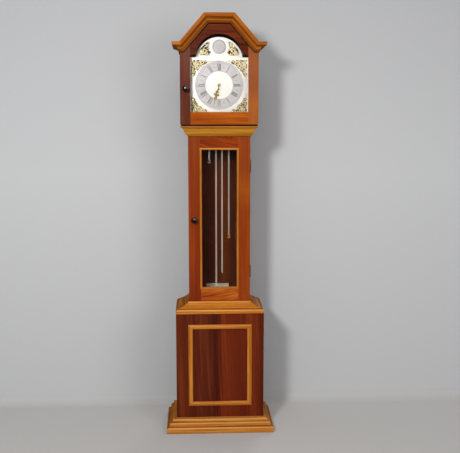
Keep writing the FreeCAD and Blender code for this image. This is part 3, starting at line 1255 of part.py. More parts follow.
hookGap = number("linkGap") / 2
chainHalf = number("chainRadius")
keep(feature("weight_hooks", Part.makeCompound([
    weightHook(goingAt[0] - chainHalf, goingAt[1] - goingDrop - hookGap),
    weightHook(strikeAt[0] + chainHalf, strikeAt[1] - strikeDrop - hookGap)])))

document.recompute()
for item in document.Objects:
    if {"Invalid", "Error"} & set(item.State):
        raise RuntimeError(f"{item.Label} did not compute: {item.State}")
os.makedirs("parts", exist_ok=True)
for node in nodes:
    if node.Shape.isNull() or not node.Shape.isValid():
        raise RuntimeError(f"{node.Label} has no valid shape")
for node in nodes:
    node.Shape.exportStep(f"parts/{node.Label}.step")
print(f"{len(nodes)} sub-parts written")
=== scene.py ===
import json
import math

import bpy
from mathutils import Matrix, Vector

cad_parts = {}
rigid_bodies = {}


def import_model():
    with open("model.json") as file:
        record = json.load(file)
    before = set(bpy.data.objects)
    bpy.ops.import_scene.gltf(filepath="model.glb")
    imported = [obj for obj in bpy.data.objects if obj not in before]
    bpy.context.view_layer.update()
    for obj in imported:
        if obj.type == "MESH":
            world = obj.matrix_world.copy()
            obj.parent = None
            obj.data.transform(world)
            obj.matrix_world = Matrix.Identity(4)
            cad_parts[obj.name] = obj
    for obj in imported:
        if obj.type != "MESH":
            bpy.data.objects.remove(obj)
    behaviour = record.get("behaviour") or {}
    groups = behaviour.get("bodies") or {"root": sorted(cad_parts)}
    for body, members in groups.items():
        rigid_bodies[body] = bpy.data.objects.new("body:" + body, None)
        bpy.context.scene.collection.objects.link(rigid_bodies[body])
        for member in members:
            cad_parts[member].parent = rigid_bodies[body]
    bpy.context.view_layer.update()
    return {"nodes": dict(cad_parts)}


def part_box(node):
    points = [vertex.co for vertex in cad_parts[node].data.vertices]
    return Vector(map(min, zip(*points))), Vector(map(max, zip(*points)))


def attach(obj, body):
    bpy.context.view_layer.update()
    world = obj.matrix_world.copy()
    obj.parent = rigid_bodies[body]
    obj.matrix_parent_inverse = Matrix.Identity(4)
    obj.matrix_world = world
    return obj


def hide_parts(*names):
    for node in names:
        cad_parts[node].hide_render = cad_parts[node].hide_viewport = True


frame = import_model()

# longcase clock: real finishes on the CAD pieces, and the fine shapes that they leave out
cad = frame["nodes"]
print("frame loaded,", len(cad), "nodes")


def linear(hexText):      # sRGB hex to the linear colour a socket wants
    parts = [int(hexText[i:i + 2], 16) / 255 for i in (1, 3, 5)]
    return tuple(c / 12.92 if c <= 0.04045 else ((c + 0.055) / 1.055) ** 2.4 for c in parts) + (1,)


def add(tree, kind, settings=None, links=None):      # one node with its values and links
    item = tree.nodes.new(kind)
    for name, value in (settings or {}).items():
        if isinstance(name, int) or name in item.inputs:
            item.inputs[name].default_value = value
        else:
            setattr(item, name, value)
    for name, source in (links or {}).items():
        tree.links.new(source, item.inputs[name])
    return item


def calc(tree, operation, a, b=0.0):      # a math node on two sockets or numbers
    item = add(tree, "ShaderNodeMath", {"operation": operation})
    for index, value in enumerate((a, b)):
        if isinstance(value, (int, float)):
            item.inputs[index].default_value = value
        else:
            tree.links.new(value, item.inputs[index])
    return item.outputs[0]


def blend(tree, factor, a, b, kind="RGBA"):      # mix two colours or vectors, by a socket or a number
    slots = {"RGBA": (6, 7, 2), "VECTOR": (4, 5, 1), "FLOAT": (2, 3, 0)}[kind]
    item = add(tree, "ShaderNodeMix", {"data_type": kind})
    for index, value in ((0, factor), (slots[0], a), (slots[1], b)):
        if isinstance(value, (int, float, tuple)):
            item.inputs[index].default_value = value
        else:
            tree.links.new(value, item.inputs[index])
    return item.outputs[slots[2]]


def ramp(tree, factor, stops):      # colour ramp from (position, colour) pairs
    item = add(tree, "ShaderNodeValToRGB", links={"Fac": factor})
    for index, (position, tone) in enumerate(stops):
        stop = item.color_ramp.elements[index] if index < 2 else item.color_ramp.elements.new(position)
        stop.position = position
        stop.color = linear(tone)
    return item.outputs["Color"]


def noise(tree, vector, scale, seed=0.0, detail=4.0, rough=0.55, twist=0.0):
    stretched = add(tree, "ShaderNodeVectorMath", {"operation": "MULTIPLY", 1: scale}, {0: vector})
    return add(tree, "ShaderNodeTexNoise",
               {"noise_dimensions": "4D", "W": seed, "Scale": 1.0, "Detail": detail, "Roughness": rough,
                "Distortion": twist}, {"Vector": stretched.outputs[0]}).outputs["Fac"]


def startMaterial(name):
    made = bpy.data.materials.new(name)
    made.use_nodes = True
    return made, made.node_tree, made.node_tree.nodes["Principled BSDF"]


def objectPlace(tree):
    return add(tree, "ShaderNodeTexCoord").outputs["Object"]


def objectAxes(tree):
    split = add(tree, "ShaderNodeSeparateXYZ", links={0: objectPlace(tree)})
    return split.outputs[0], split.outputs[1], split.outputs[2]


def join3(tree, a, b, c):
    return add(tree, "ShaderNodeCombineXYZ", links={0: a, 1: b, 2: c}).outputs[0]


def crevice(tree, reach):      # 0 in open places, 1 deep in a corner: the mask for painted shade
    near = add(tree, "ShaderNodeAmbientOcclusion", {"samples": 8, "Distance": reach}).outputs["AO"]
    return calc(tree, "SUBTRACT", 1.0, near)


# frames and gable whose grain follows the mitred lengths, in metres
panelFrame = {"z": 0.321, "half": 0.1285, "high": 0.178}
beadFrame = {"z": 1.0130, "half": 0.082, "high": 0.3257}
gable = {"ridge": 0.050, "top": 1.908, "eave": 0.160, "foot": 1.782, "angle": math.radians(48.88)}


def grainVector(tree, grain):      # the last axis of the vector runs along the grain
    x, y, z = objectAxes(tree)
    if grain == "x":
        return join3(tree, z, y, x)
    if grain == "y":
        return join3(tree, x, z, y)
    upright = join3(tree, x, y, z)
    across = join3(tree, z, y, x)
    if isinstance(grain, dict) and "half" in grain:      # sides upright, top and bottom across
        side = calc(tree, "SUBTRACT", calc(tree, "ABSOLUTE", x), grain["half"])
        level = calc(tree, "ABSOLUTE", calc(tree, "SUBTRACT", z, grain["z"]))
        return blend(tree, calc(tree, "GREATER_THAN", side, calc(tree, "SUBTRACT", level, grain["high"])),
                     across, upright, "VECTOR")
    if isinstance(grain, dict):      # along the ridge, the slopes and the ears
        reach = calc(tree, "ABSOLUTE", x)
        lean = math.tan(grain["angle"] / 2)
        ridgeEnd = calc(tree, "MULTIPLY_ADD", calc(tree, "SUBTRACT", z, grain["top"]), lean)
        ridgeEnd.node.inputs[2].default_value = grain["ridge"]
        earStart = calc(tree, "MULTIPLY_ADD", calc(tree, "SUBTRACT", z, grain["foot"]), lean)
        earStart.node.inputs[2].default_value = grain["eave"]
        cosine, sine = math.cos(grain["angle"]), math.sin(grain["angle"])
        along = calc(tree, "SUBTRACT", calc(tree, "MULTIPLY", reach, cosine), calc(tree, "MULTIPLY", z, sine))
        over = calc(tree, "ADD", calc(tree, "MULTIPLY", reach, sine), calc(tree, "MULTIPLY", z, cosine))
        slope = blend(tree, calc(tree, "LESS_THAN", reach, ridgeEnd), join3(tree, over, y, along), across,
                      "VECTOR")
        return blend(tree, calc(tree, "GREATER_THAN", reach, earStart), slope, across, "VECTOR")
    return upright


def stripes(tree, axis, places):      # 1 in narrow bands round each (place, half width) on an axis, in metres
    where = calc(tree, "ABSOLUTE", objectAxes(tree)[axis])
    total = 0.0
    for place, half in places:
        apart = calc(tree, "ABSOLUTE", calc(tree, "SUBTRACT", where, place))
        total = calc(tree, "ADD", calc(tree, "LESS_THAN", apart, half), total)
    return total


# a pattern's scale is one over its size in metres: pores are 0.8 mm wide and 22 mm long, drawn a little coarse
woodSizes = {"pores": (1300, 1300, 45), "poreDepth": 0.0002, "corner": 0.006, "edge": 0.0009, "ior": 1.45,
             "rawShine": 0.12, "coatRough": 0.14, "coatIor": 1.48}


def wood(name, tones, grain="z", seed=0.0, figure=(9, 0.8), lines=(170, 4), gloss=0.13, bands=None,
         cornerShade=0.55, lean=0.0, quirkShade=None, arrisHighlight=None, polish=0.08):
    made, tree, shader = startMaterial(name)
    vector = grainVector(tree, grain)
    if lean:      # grain that slants across the board
        turned = add(tree, "ShaderNodeVectorRotate", {"rotation_type": "Y_AXIS", "Angle": lean}, {0: vector})
        vector = turned.outputs[0]
    broad = noise(tree, vector, (figure[0], figure[0], figure[1]), seed, 3.0, 0.5, 0.9)
    streaks = noise(tree, vector, (figure[0] * 6, figure[0] * 6, figure[1] * 2.4), seed + 3, 4.0, 0.65, 0.4)
    fine = noise(tree, vector, (lines[0], lines[0], lines[1]), seed + 7, 5.0, 0.7)
    pores = noise(tree, vector, woodSizes["pores"], seed + 11, 2.0, 0.5)
    mixed = calc(tree, "ADD", calc(tree, "MULTIPLY", broad, 0.32), calc(tree, "MULTIPLY", streaks, 0.36))
    mixed = calc(tree, "ADD", mixed, calc(tree, "MULTIPLY", fine, 0.32))
    tone = ramp(tree, mixed, [(0.40, tones[0]), (0.60, tones[2]), (0.50, tones[1])])
    if bands:      # slow changes of colour over the board, from (place in metres, tone) pairs
        axis, low, high, share, places = bands
        wander = calc(tree, "MULTIPLY", calc(tree, "SUBTRACT", streaks, 0.5), (high - low) * 0.16)
        drift = calc(tree, "MULTIPLY", calc(tree, "SUBTRACT", broad, 0.5), (high - low) * 0.24)
        spot = calc(tree, "ADD", calc(tree, "ADD", objectAxes(tree)[axis], wander), drift)
        spot = calc(tree, "DIVIDE", calc(tree, "SUBTRACT", spot, low), high - low)
        tone = blend(tree, share, tone,
                     ramp(tree, spot, [((at - low) / (high - low), c) for at, c in places]))
    openPores = calc(tree, "GREATER_THAN", pores, 0.60)
    tone = blend(tree, calc(tree, "MULTIPLY", openPores, 0.30), tone, linear(tones[0]))
    dark = blend(tree, 0.72, linear(tones[0]), linear("#160703"))
    # painted shade: darker deep in the corners
    tone = blend(tree, calc(tree, "MULTIPLY", crevice(tree, woodSizes["corner"]), cornerShade), tone, dark)
    if arrisHighlight:      # painted highlight on rounded edges
        tone = blend(tree, calc(tree, "MULTIPLY", stripes(tree, *arrisHighlight), 0.30), tone, linear("#f4bc6a"))
    if quirkShade:      # painted shade in the corners of a moulding
        tone = blend(tree, calc(tree, "MULTIPLY", stripes(tree, *quirkShade), 0.62), tone, dark)
    tree.links.new(tone, shader.inputs["Base Color"])
    tree.links.new(calc(tree, "ADD", calc(tree, "MULTIPLY", fine, 0.12), gloss), shader.inputs["Roughness"])
    shader.inputs["IOR"].default_value = woodSizes["ior"]
    if gloss > 0.5:      # raw boards hardly shine
        shader.inputs["Specular IOR Level"].default_value = woodSizes["rawShine"]
    shader.inputs["Coat Weight"].default_value = polish      # thin satin lacquer
    shader.inputs["Coat Roughness"].default_value = woodSizes["coatRough"]
    shader.inputs["Coat IOR"].default_value = woodSizes["coatIor"]
    eased = add(tree, "ShaderNodeBevel", {"samples": 4, "Radius": woodSizes["edge"]})      # sanded edges
    bump = add(tree, "ShaderNodeBump", {"Strength": 0.28, "Distance": woodSizes["poreDepth"]},
               {"Height": calc(tree, "SUBTRACT", fine, calc(tree, "MULTIPLY", openPores, 0.5)),
                "Normal": eased.outputs[0]})
    tree.links.new(bump.outputs[0], shader.inputs["Normal"])
    return made


def dress(made, *names):      # the CAD pieces keep their meshes and get a better finish
    for name in names:
        mesh = cad[name].data
        mesh.materials.clear()
        mesh.materials.append(made)


# mahogany of the doors and sides: planed, stained and lacquered satin, red brown with a soft sheen
# bands of colour: axis, start, end, share and (place, tone)
stileBands = {
    "left": (2, 0.619, 1.401, 0.45, [(0.65, "#78280a"), (1.39, "#94481c"), (0.95, "#86320c"),
                                     (1.25, "#8a3c12")]),
    # the orange stop at 1.14 m on the right stile is a painted highlight
    "right": (2, 0.619, 1.401, 0.50, [(0.65, "#92400f"), (1.39, "#9a4a1c"), (0.90, "#86340b"),
                                      (1.05, "#8a3a0c"), (1.14, "#ac5c16"), (1.24, "#924214")]),
    # the hood's stiles are one wood: the left one is painted darker as shade, the right one painted lighter as
    # lit
    "hoodRight": (2, 1.455, 1.90, 0.60, [(1.46, "#a85a20"), (1.88, "#8a4a2e"), (1.56, "#b0601e"),
                                         (1.64, "#8c4624"), (1.74, "#95512e")]),
    "hoodLeft": (2, 1.455, 1.90, 0.50, [(1.46, "#64301c"), (1.88, "#7c4c3c"), (1.60, "#5c2a1a"),
                                        (1.74, "#74402e")]),
}
dress(wood("mahoganyStileLeft", ("#5e1c05", "#88330b", "#a44812"), "z", 1.0, bands=stileBands["left"]),
      "trunk_door_stile_left")
dress(wood("mahoganyStileRight", ("#6c260a", "#90390a", "#b05212"), "z", 2.0, bands=stileBands["right"]),
      "trunk_door_stile_right")
dress(wood("mahoganyRailTop", ("#62200a", "#8c360a", "#ac4e12"), "x", 3.0, (16, 3.0), lean=0.16),
      "trunk_door_rail_top")
dress(wood("mahoganyRailBottom", ("#782c0a", "#a84c12", "#d07a26"), "x", 4.0, (18, 3.5), lean=-0.16),
      "trunk_door_rail_bottom")
# painted shade on the hood's left stile, painted light on its right stile
dress(wood("mahoganyHoodLeftShaded", ("#34120a", "#582616", "#7e4634"), "z", 5.0, bands=stileBands["hoodLeft"]),
      "hood_door_stile_left")
dress(wood("mahoganyHoodRightLit", ("#682c0c", "#8c4a20", "#a86032"), "z", 6.0, bands=stileBands["hoodRight"]),
      "hood_door_stile_right")
dress(wood("mahoganyHoodRail", ("#863808", "#a8500c", "#c87018"), "x", 7.0, (14, 1.6)),
      "hood_door_rail_bottom")
# painted shade: the arch rail is drawn dark as it sits in shade under the crown
dress(wood("mahoganyArchShaded", ("#380f02", "#561d07", "#743010"), "x", 8.0, (14, 2.0)), "hood_door_rail_arch")
dress(wood("mahoganySides", ("#5c2009", "#7c3210", "#964618"), "z", 9.0), "trunk_side_left",
      "trunk_side_right", "hood_side_left", "hood_side_right")
# painted shade: the hood's base is drawn near black as the shadowed gap above the throat
dress(wood("mahoganyHoodBaseShaded", ("#240a04", "#3a1608", "#4c200c"), "x", 10.0), "hood_base")

# plinth: knife-cut mahogany veneer, darker, with broad upright stripes under the same lacquer
plinthBands = (0, -0.2075, 0.2075, 0.60,
               [(-0.2075, "#58220c"), (0.2075, "#4e180a"), (-0.170, "#64280e"), (-0.120, "#4c1c0e"),
                (-0.080, "#5c2410"), (-0.020, "#35120a"), (0.004, "#7e2e0c"), (0.050, "#762a0c"),
                (0.110, "#6a240b"), (0.150, "#7c2c0d")])
dress(wood("plinthVeneer", ("#34100a", "#64220c", "#94441c"), "z", 12.0, (16, 0.9), (210, 3),
           bands=plinthBands, lean=0.05), "plinth_front")
dress(wood("plinthSides", ("#421506", "#581f0b", "#6e2a10"), "z", 13.0), "plinth_side_left",
      "plinth_side_right")

# mouldings of a lighter hardwood, run with cutters and lacquered: golden brown, with painted shade in the
# quirks
# painted shade in the quirks and painted highlight on the arrises: axis and (place, half width)
goldTones = ("#96480a", "#c0721a", "#da9434")
baseQuirkShade = (2, [(0.0283, 0.0012), (0.0473, 0.0011), (0.0612, 0.0009)])
baseArrisHighlight = (2, [(0.0240, 0.0022), (0.0440, 0.0015), (0.0585, 0.0014)])
waistQuirkShade = (2, [(0.5925, 0.0013)])
waistArrisHighlight = (2, [(0.5870, 0.0025), (0.6165, 0.0015)])
throatQuirkShade = (2, [(1.4024, 0.0012), (1.4412, 0.0011)])
throatArrisHighlight = (2, [(1.4455, 0.0014)])
crownQuirkShade = (1, [(0.0702, 0.0012), (0.0893, 0.0019)])
crownArrisHighlight = (1, [(0.0676, 0.0010)])
dress(wood("mouldingFront", goldTones, "x", 20.0, (60, 2.2), cornerShade=0.8, quirkShade=waistQuirkShade,
           arrisHighlight=waistArrisHighlight), "waist_moulding_front")
dress(wood("mouldingThroat", ("#94500a", "#c07e20", "#d89a38"), "x", 21.0, (60, 2.2), cornerShade=0.8,
           quirkShade=throatQuirkShade, arrisHighlight=throatArrisHighlight), "throat_moulding_front")
dress(wood("mouldingBase", ("#985414", "#c47a2c", "#dc9c48"), "x", 22.0, (60, 2.2), cornerShade=1.0,
           quirkShade=baseQuirkShade, arrisHighlight=baseArrisHighlight), "base_moulding_front")
# painted shade: the side returns are the same wood, drawn darker than the fronts
shadedSideTones = ("#7c3c10", "#a86420", "#c88434")
dress(wood("mouldingSides", shadedSideTones, "y", 23.0, (60, 2.2), cornerShade=0.8), "throat_moulding_left",
      "throat_moulding_right", "crown_moulding_sides")
dress(wood("mouldingWaistSides", shadedSideTones, "y", 27.0, (60, 2.2), cornerShade=0.8, quirkShade=waistQuirkShade),
      "waist_moulding_sides")
dress(wood("mouldingBaseSides", shadedSideTones, "y", 28.0, (60, 2.2), cornerShade=0.8, quirkShade=baseQuirkShade),
      "base_moulding_left", "base_moulding_right")
dress(wood("mouldingCrown", ("#743006", "#a85a10", "#c87a20"), gable, 24.0, (50, 2.2), cornerShade=1.0,
           quirkShade=crownQuirkShade, arrisHighlight=crownArrisHighlight), "crown_moulding_front")
dress(wood("mouldingPanel", ("#984c0c", "#c27426", "#da963c"), panelFrame, 25.0, (60, 2.2), cornerShade=0.8),
      "plinth_panel_moulding")
dress(wood("mouldingBead", ("#8c4410", "#b87028", "#d8943c"), beadFrame, 26.0, (60, 2.2), cornerShade=0.8),
      "trunk_door_bead")

# inner boards: stained plywood at the back, sawn pine that nobody polished, flat and dusty
# painted light and shade: the back board is lighter in the middle and darker at its sides, as light falls into
# the trunk
backBoardShading = (0, -0.14, 0.14, 0.55, [(-0.10, "#4a220e"), (0.10, "#3c1806"), (-0.045, "#421c0a"),
                                    (0.000, "#55270a"), (0.030, "#6a340c"), (0.060, "#40190a")])
dress(wood("backBoard", ("#200a02", "#421804", "#602806"), "z", 30.0, (14, 1.0), gloss=0.82,
           bands=backBoardShading, polish=0.0), "back_board", "hood_roof")
dress(wood("pineBoards", ("#9a7a52", "#b8986c", "#cbb088"), "x", 31.0, (20, 1.0), gloss=0.8, polish=0.0),
      "seat_board", "plinth_floor", "hood_sill")
dress(wood("paleBatten", ("#9c927e", "#b4aa98", "#c8c0b0"), "x", 32.0, (20, 1.0), gloss=0.8, polish=0.0),
      "back_batten")


# clouds of tarnish are about 45 mm wide, scratches are under a tenth of a millimetre deep
metalSizes = {"clouds": (22, 22, 22), "corner": 0.003, "scratchDepth": 0.00004, "rearShadeFade": 900.0}


def metal(name, tone, rough, brush=(300, 300, 300), seed=0.0, spread=0.12, dull=0.0, metallic=1.0,
          cornerShade=0.0, rearShade=None, low=None):
    made, tree, shader = startMaterial(name)
    vector = objectPlace(tree)
    scratches = noise(tree, vector, brush, seed, 3.0, 0.6)
    cloud = noise(tree, vector, metalSizes["clouds"], seed + 5, 3.0, 0.5)
    deeper = blend(tree, calc(tree, "MULTIPLY", cloud, dull), linear(tone), linear("#4a3820"))
    if cornerShade:      # painted shade in the corners
        corner = calc(tree, "MULTIPLY", crevice(tree, metalSizes["corner"]), cornerShade)
        deeper = blend(tree, corner, deeper, linear("#2e2210"))
    if low:      # painted shade below a height, in metres, over a reach and by a share
        sunk = calc(tree, "DIVIDE", calc(tree, "SUBTRACT", low[0], objectAxes(tree)[2]), low[1])
        sunk = calc(tree, "MINIMUM", calc(tree, "MAXIMUM", sunk, 0.0), 1.0)
        deeper = blend(tree, calc(tree, "MULTIPLY", sunk, low[2]), deeper, linear("#6a5a34"))
    if rearShade:      # painted shade behind a depth, in metres
        back = calc(tree, "SUBTRACT", objectAxes(tree)[1], rearShade)
        back = calc(tree, "MULTIPLY", back, metalSizes["rearShadeFade"])
        deeper = blend(tree, back, deeper, linear("#2c241c"))
    tree.links.new(deeper, shader.inputs["Base Color"])
    tree.links.new(calc(tree, "ADD", calc(tree, "MULTIPLY", scratches, spread), rough),
                   shader.inputs["Roughness"])
    shader.inputs["Metallic"].default_value = metallic
    bump = add(tree, "ShaderNodeBump", {"Strength": 0.08, "Distance": metalSizes["scratchDepth"]},
               {"Height": scratches})
    tree.links.new(bump.outputs[0], shader.inputs["Normal"])
    return made


# rolled brass sheet, brushed across and lacquered: nearly white where it mirrors a light
# painted shade: the plate is drawn darker towards the bottom and in its corners
dialBrass = metal("dialBrass", "#fffdf7", 0.29, (40, 40, 1400), 1.0, 0.04, metallic=0.85, cornerShade=0.35,
                  low=(1.535, 0.045, 0.5))
# the scrolls, cast, filed and gilt: small bright lights between corners in painted shade, and painted shade
# lower down
castBrass = metal("castBrass", "#fff0c4", 0.26, (260, 260, 260), 2.0, dull=0.1, cornerShade=1.0,
                  low=(1.61, 0.11, 0.5))
# milled plates and cut wheels under old lacquer, deep yellow
movementBrass = metal("movementBrass", "#d8b468", 0.28, (900, 60, 60), 3.0, dull=0.2, cornerShade=0.5)
# drawn brass gone brown at the hinges, and gilt sheet sawn for the hands, a dull olive gold
hingeBrass = metal("hingeBrass", "#8a6a38", 0.40, (300, 300, 300), 4.0, dull=0.6)
giltSheet = metal("giltSheet", "#90824e", 0.32, (500, 500, 500), 5.0, dull=0.35)
# nickelled wire: pale in front, with painted shade behind
chainSteel = metal("chainSteel", "#fff8ee", 0.30, (700, 700, 700), 6.0, metallic=0.40, cornerShade=0.8,
                   rearShade=0.0101)
# bent brass wire, and turned steel, cold grey
hookBrass = metal("hookBrass", "#d8b050", 0.26, (500, 500, 500), 6.5)
arborSteel = metal("arborSteel", "#a8a8aa", 0.26, (700, 60, 700), 7.0)
# brass silvered with paste: flat pale grey, a shade deeper on the boss
silvered = metal("silveredBrass", "#a09d9e", 0.45, (60, 60, 1600), 8.0, metallic=0.6)
silveredBoss = metal("silveredBoss", "#949293", 0.45, (60, 60, 1600), 9.0, metallic=0.6)

# pierced ground of the castings: dark spots of painted shade with the bright plate seen through it, and round
# it as a margin
# openings are about 7 mm; margins are (place, half width)
groundSizes = {"openings": (150, 150, 150), "sides": [(0.1325, 0.0045)],
               "ends": [(1.5015, 0.0045), (1.7515, 0.0045)]}
castGround, tree, shader = startMaterial("castGround")
pierced = noise(tree, objectPlace(tree), groundSizes["openings"], 2.5, 1.5, 0.5, 0.8)
ground = ramp(tree, pierced, [(0.47, "#1c1408"), (0.58, "#fff0c8"), (0.53, "#5c4820")])
margin = calc(tree, "MAXIMUM", stripes(tree, 0, groundSizes["sides"]), stripes(tree, 2, groundSizes["ends"]))
tree.links.new(blend(tree, margin, ground, linear("#fff8e8")), shader.inputs["Base Color"])
shader.inputs["Metallic"].default_value = 0.8
shader.inputs["Roughness"].default_value = 0.38

dress(dialBrass, "dial_plate")
dress(castGround, "spandrels")
dress(silvered, "chapter_ring")
dress(silveredBoss, "arch_boss")
dress(movementBrass, "movement_front_plate", "movement_back_plate", "going_great_wheel",
      "strike_great_wheel", "centre_wheel", "third_wheel", "escape_wheel", "minute_wheel", "hour_wheel")
dress(hingeBrass, "trunk_hinges", "trunk_door_hinge_leaves", "hood_door_pivots")
dress(giltSheet, "minute_hand", "hour_hand")
dress(arborSteel, "anchor")

# the boss's ring belongs to the castings and is polished like the plate
bossSizes = {"x": 0.0, "z": 1.806, "reach": 0.0425, "front": -0.036, "lines": (0.0275, 0.0262, 0.0105),
             "wire": 0.0002}
castings = cad["spandrels"].data
castings.materials.append(dialBrass)
for face in castings.polygons:
    if math.hypot(face.center.x - bossSizes["x"], face.center.z - bossSizes["z"]) < bossSizes["reach"]:
        face.material_index = 1

# drawn window glass, clear with faint smears; it lets the lights reach the dial
glass, tree, shader = startMaterial("clearGlass")
shader.inputs["Base Color"].default_value = linear("#fbfaf8")
shader.inputs["Transmission Weight"].default_value = 1.0
shader.inputs["IOR"].default_value = 1.52
smears = noise(tree, objectPlace(tree), (12, 12, 5), 3.0, 3.0)
tree.links.new(calc(tree, "MULTIPLY", smears, 0.03), shader.inputs["Roughness"])
clear = add(tree, "ShaderNodeBsdfTransparent", {"Color": linear("#f8f8f7")})
shadowRay = add(tree, "ShaderNodeLightPath").outputs["Is Shadow Ray"]
mixed = add(tree, "ShaderNodeMixShader", links={0: shadowRay, 1: shader.outputs[0], 2: clear.outputs[0]})
tree.links.new(mixed.outputs[0], tree.nodes["Material Output"].inputs["Surface"])
dress(glass, "trunk_door_glass", "hood_door_glass")

# turned hardwood of the knobs, stained nearly black and polished to small hard highlights
knobWood = wood("knobWood", ("#140805", "#24100a", "#36190f"), "y", 40.0, (30, 3.0), gloss=0.09, polish=0.8)

# black wax melted into the engraved numerals, a matt near black
wax, tree, shader = startMaterial("blackWax")
specks = noise(tree, objectPlace(tree), (900, 900, 900), 1.0, 3.0)
tree.links.new(ramp(tree, specks, [(0.3, "#0c0c0e"), (0.8, "#202024")]), shader.inputs["Base Color"])
shader.inputs["Roughness"].default_value = 0.5
print("finishes ready")


def finishPiece(piece, name, made, body, smooth=None):
    piece.name = name
    piece.data.name = name
    bpy.ops.object.select_all(action="DESELECT")
    piece.select_set(True)
    bpy.context.view_layer.objects.active = piece
    bpy.ops.object.transform_apply(location=True, rotation=True, scale=True)
    if smooth is not None:
        bpy.ops.object.shade_smooth_by_angle(angle=math.radians(smooth))
    piece.data.materials.clear()
    piece.data.materials.append(made)
    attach(piece, body)
    return piece


def joined(pieces):
    bpy.ops.object.select_all(action="DESELECT")
    for piece in pieces:
        piece.select_set(True)
    bpy.context.view_layer.objects.active = pieces[0]
    if len(pieces) > 1:
        bpy.ops.object.join()
    return bpy.context.object


# round knobs in front of each door, in shares of the CAD knob's radius and depth
knobSizes = {"neck": 0.62, "neckDepth": 0.5, "ballPlace": 0.60, "ballDepth": 0.40}


def knob(name, node, body):
    low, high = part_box(node)
    radius = (high.x - low.x) / 2
    x, z = (low.x + high.x) / 2, (low.z + high.z) / 2
    depth = high.y - low.y
    neckDepth = depth * knobSizes["neckDepth"]
    bpy.ops.mesh.primitive_cylinder_add(vertices=40, radius=radius * knobSizes["neck"], depth=neckDepth,
                                        location=(x, high.y - neckDepth / 2, z),
                                        rotation=(math.pi / 2, 0, 0))
    neck = bpy.context.object
    bpy.ops.mesh.primitive_uv_sphere_add(segments=48, ring_count=24, radius=1,
                                         location=(x, high.y - depth * knobSizes["ballPlace"], z))
    ball = bpy.context.object
    ball.scale = (radius, depth * knobSizes["ballDepth"], radius)
    piece = finishPiece(joined([neck, ball]), name, knobWood, body, 40)
    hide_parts(node)


knob("hoodKnob", "hood_door_knob", "hood_door")
knob("trunkKnob", "trunk_door_knob", "trunk_door")
print("knobs ready")

# chains of round wire: straight runs by array, the turn over the chain wheel link by link
chainSizes = {"pitch": 0.0064, "wire": 0.0010, "half": 0.0034, "draw": 0.0008, "twist": (38, 142),
              "radius": 0.016, "apart": 0.030, "y": 0.012, "level": 1.6067878, "length": 1.575,
              "goingDrop": 0.308, "strikeDrop": 0.666}


def chainLink(x, z, lean, twist):
    bpy.ops.mesh.primitive_torus_add(major_segments=12, minor_segments=6, major_radius=chainSizes["half"],
                                     minor_radius=chainSizes["wire"], rotation=(math.pi / 2, 0, 0))
    link = bpy.context.object
    bpy.ops.object.transform_apply(location=False, rotation=True, scale=False)
    for vertex in link.data.vertices:      # draw the ring out to a long link
        vertex.co.z += math.copysign(chainSizes["draw"], vertex.co.z)
    link.rotation_euler = (0, 0, twist)
    bpy.ops.object.transform_apply(location=False, rotation=True, scale=False)
    link.rotation_euler = (0, lean, 0)
    link.location = (x, chainSizes["y"], z)
    bpy.ops.object.transform_apply(location=True, rotation=True, scale=False)
    return link


def straightRun(x, z, pairs, down):
    pitch = chainSizes["pitch"]
    left, right = (math.radians(twist) for twist in chainSizes["twist"])
    first = joined([chainLink(x, z, 0, left), chainLink(x, z + (-pitch if down else pitch), 0, right)])
    array = first.modifiers.new("Array", "ARRAY")
    array.count = pairs
    array.use_relative_offset = False
    array.use_constant_offset = True
    array.constant_offset_displace = (0, 0, -2 * pitch if down else 2 * pitch)
    bpy.ops.object.modifier_apply(modifier=array.name)
    return first


def chain(name, node, middle, side, drop):
    pitch, radius, level = chainSizes["pitch"], chainSizes["radius"], chainSizes["level"]
    count = int(chainSizes["length"] / pitch)
    rising = int(drop / pitch) // 2 * 2
    turned = rising
    parts = [straightRun(middle + side * radius, level - drop + pitch / 2, rising // 2, False)]
    while (turned + 0.5) * pitch < drop + math.pi * radius or (count - turned) % 2:
        over = (turned + 0.5) * pitch - drop
        angle = min(max(over / radius, 0), math.pi)
        z = level + radius * math.sin(angle) + min(over, 0) - max(over - math.pi * radius, 0)
        parts.append(chainLink(middle + side * radius * math.cos(angle), z, -side * angle,
                               math.radians(chainSizes["twist"][turned % 2])))
        turned += 1
    over = (turned + 0.5) * pitch - drop - math.pi * radius
    parts.append(straightRun(middle - side * radius, level - over, (count - turned) // 2, True))
    piece = finishPiece(joined(parts), name, chainSteel, "case", 60)
    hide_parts(node)


chain("goingChain", "going_chain", -chainSizes["apart"], -1, chainSizes["goingDrop"])
chain("strikeChain", "strike_chain", chainSizes["apart"], 1, chainSizes["strikeDrop"])
print("chains ready")


def wireArc(x, y, z, bend, wire, start, turn, steps, sides=10):      # round bar bent in the XZ plane
    bpy.ops.mesh.primitive_circle_add(vertices=sides, radius=wire, rotation=(0, -start, 0),
                                      location=(x + bend * math.cos(start), y, z + bend * math.sin(start)))
    bar = bpy.context.object
    bpy.ops.object.transform_apply(location=True, rotation=True, scale=True)
    bpy.ops.object.mode_set(mode="EDIT")
    bpy.ops.mesh.select_all(action="SELECT")
    bpy.ops.mesh.spin(steps=steps, angle=turn, center=(x, y, z), axis=(0, -1, 0))
    bpy.ops.mesh.select_all(action="SELECT")
    bpy.ops.mesh.fill_holes(sides=0)
    bpy.ops.mesh.normals_make_consistent(inside=False)
    bpy.ops.object.mode_set(mode="OBJECT")
    return bar


# weight hooks bent from round wire: eye, shank and open bend
hookSizes = {"wire": 0.00145, "eye": 0.0033, "bend": 0.0055, "shank": 0.004, "gap": 0.00015}


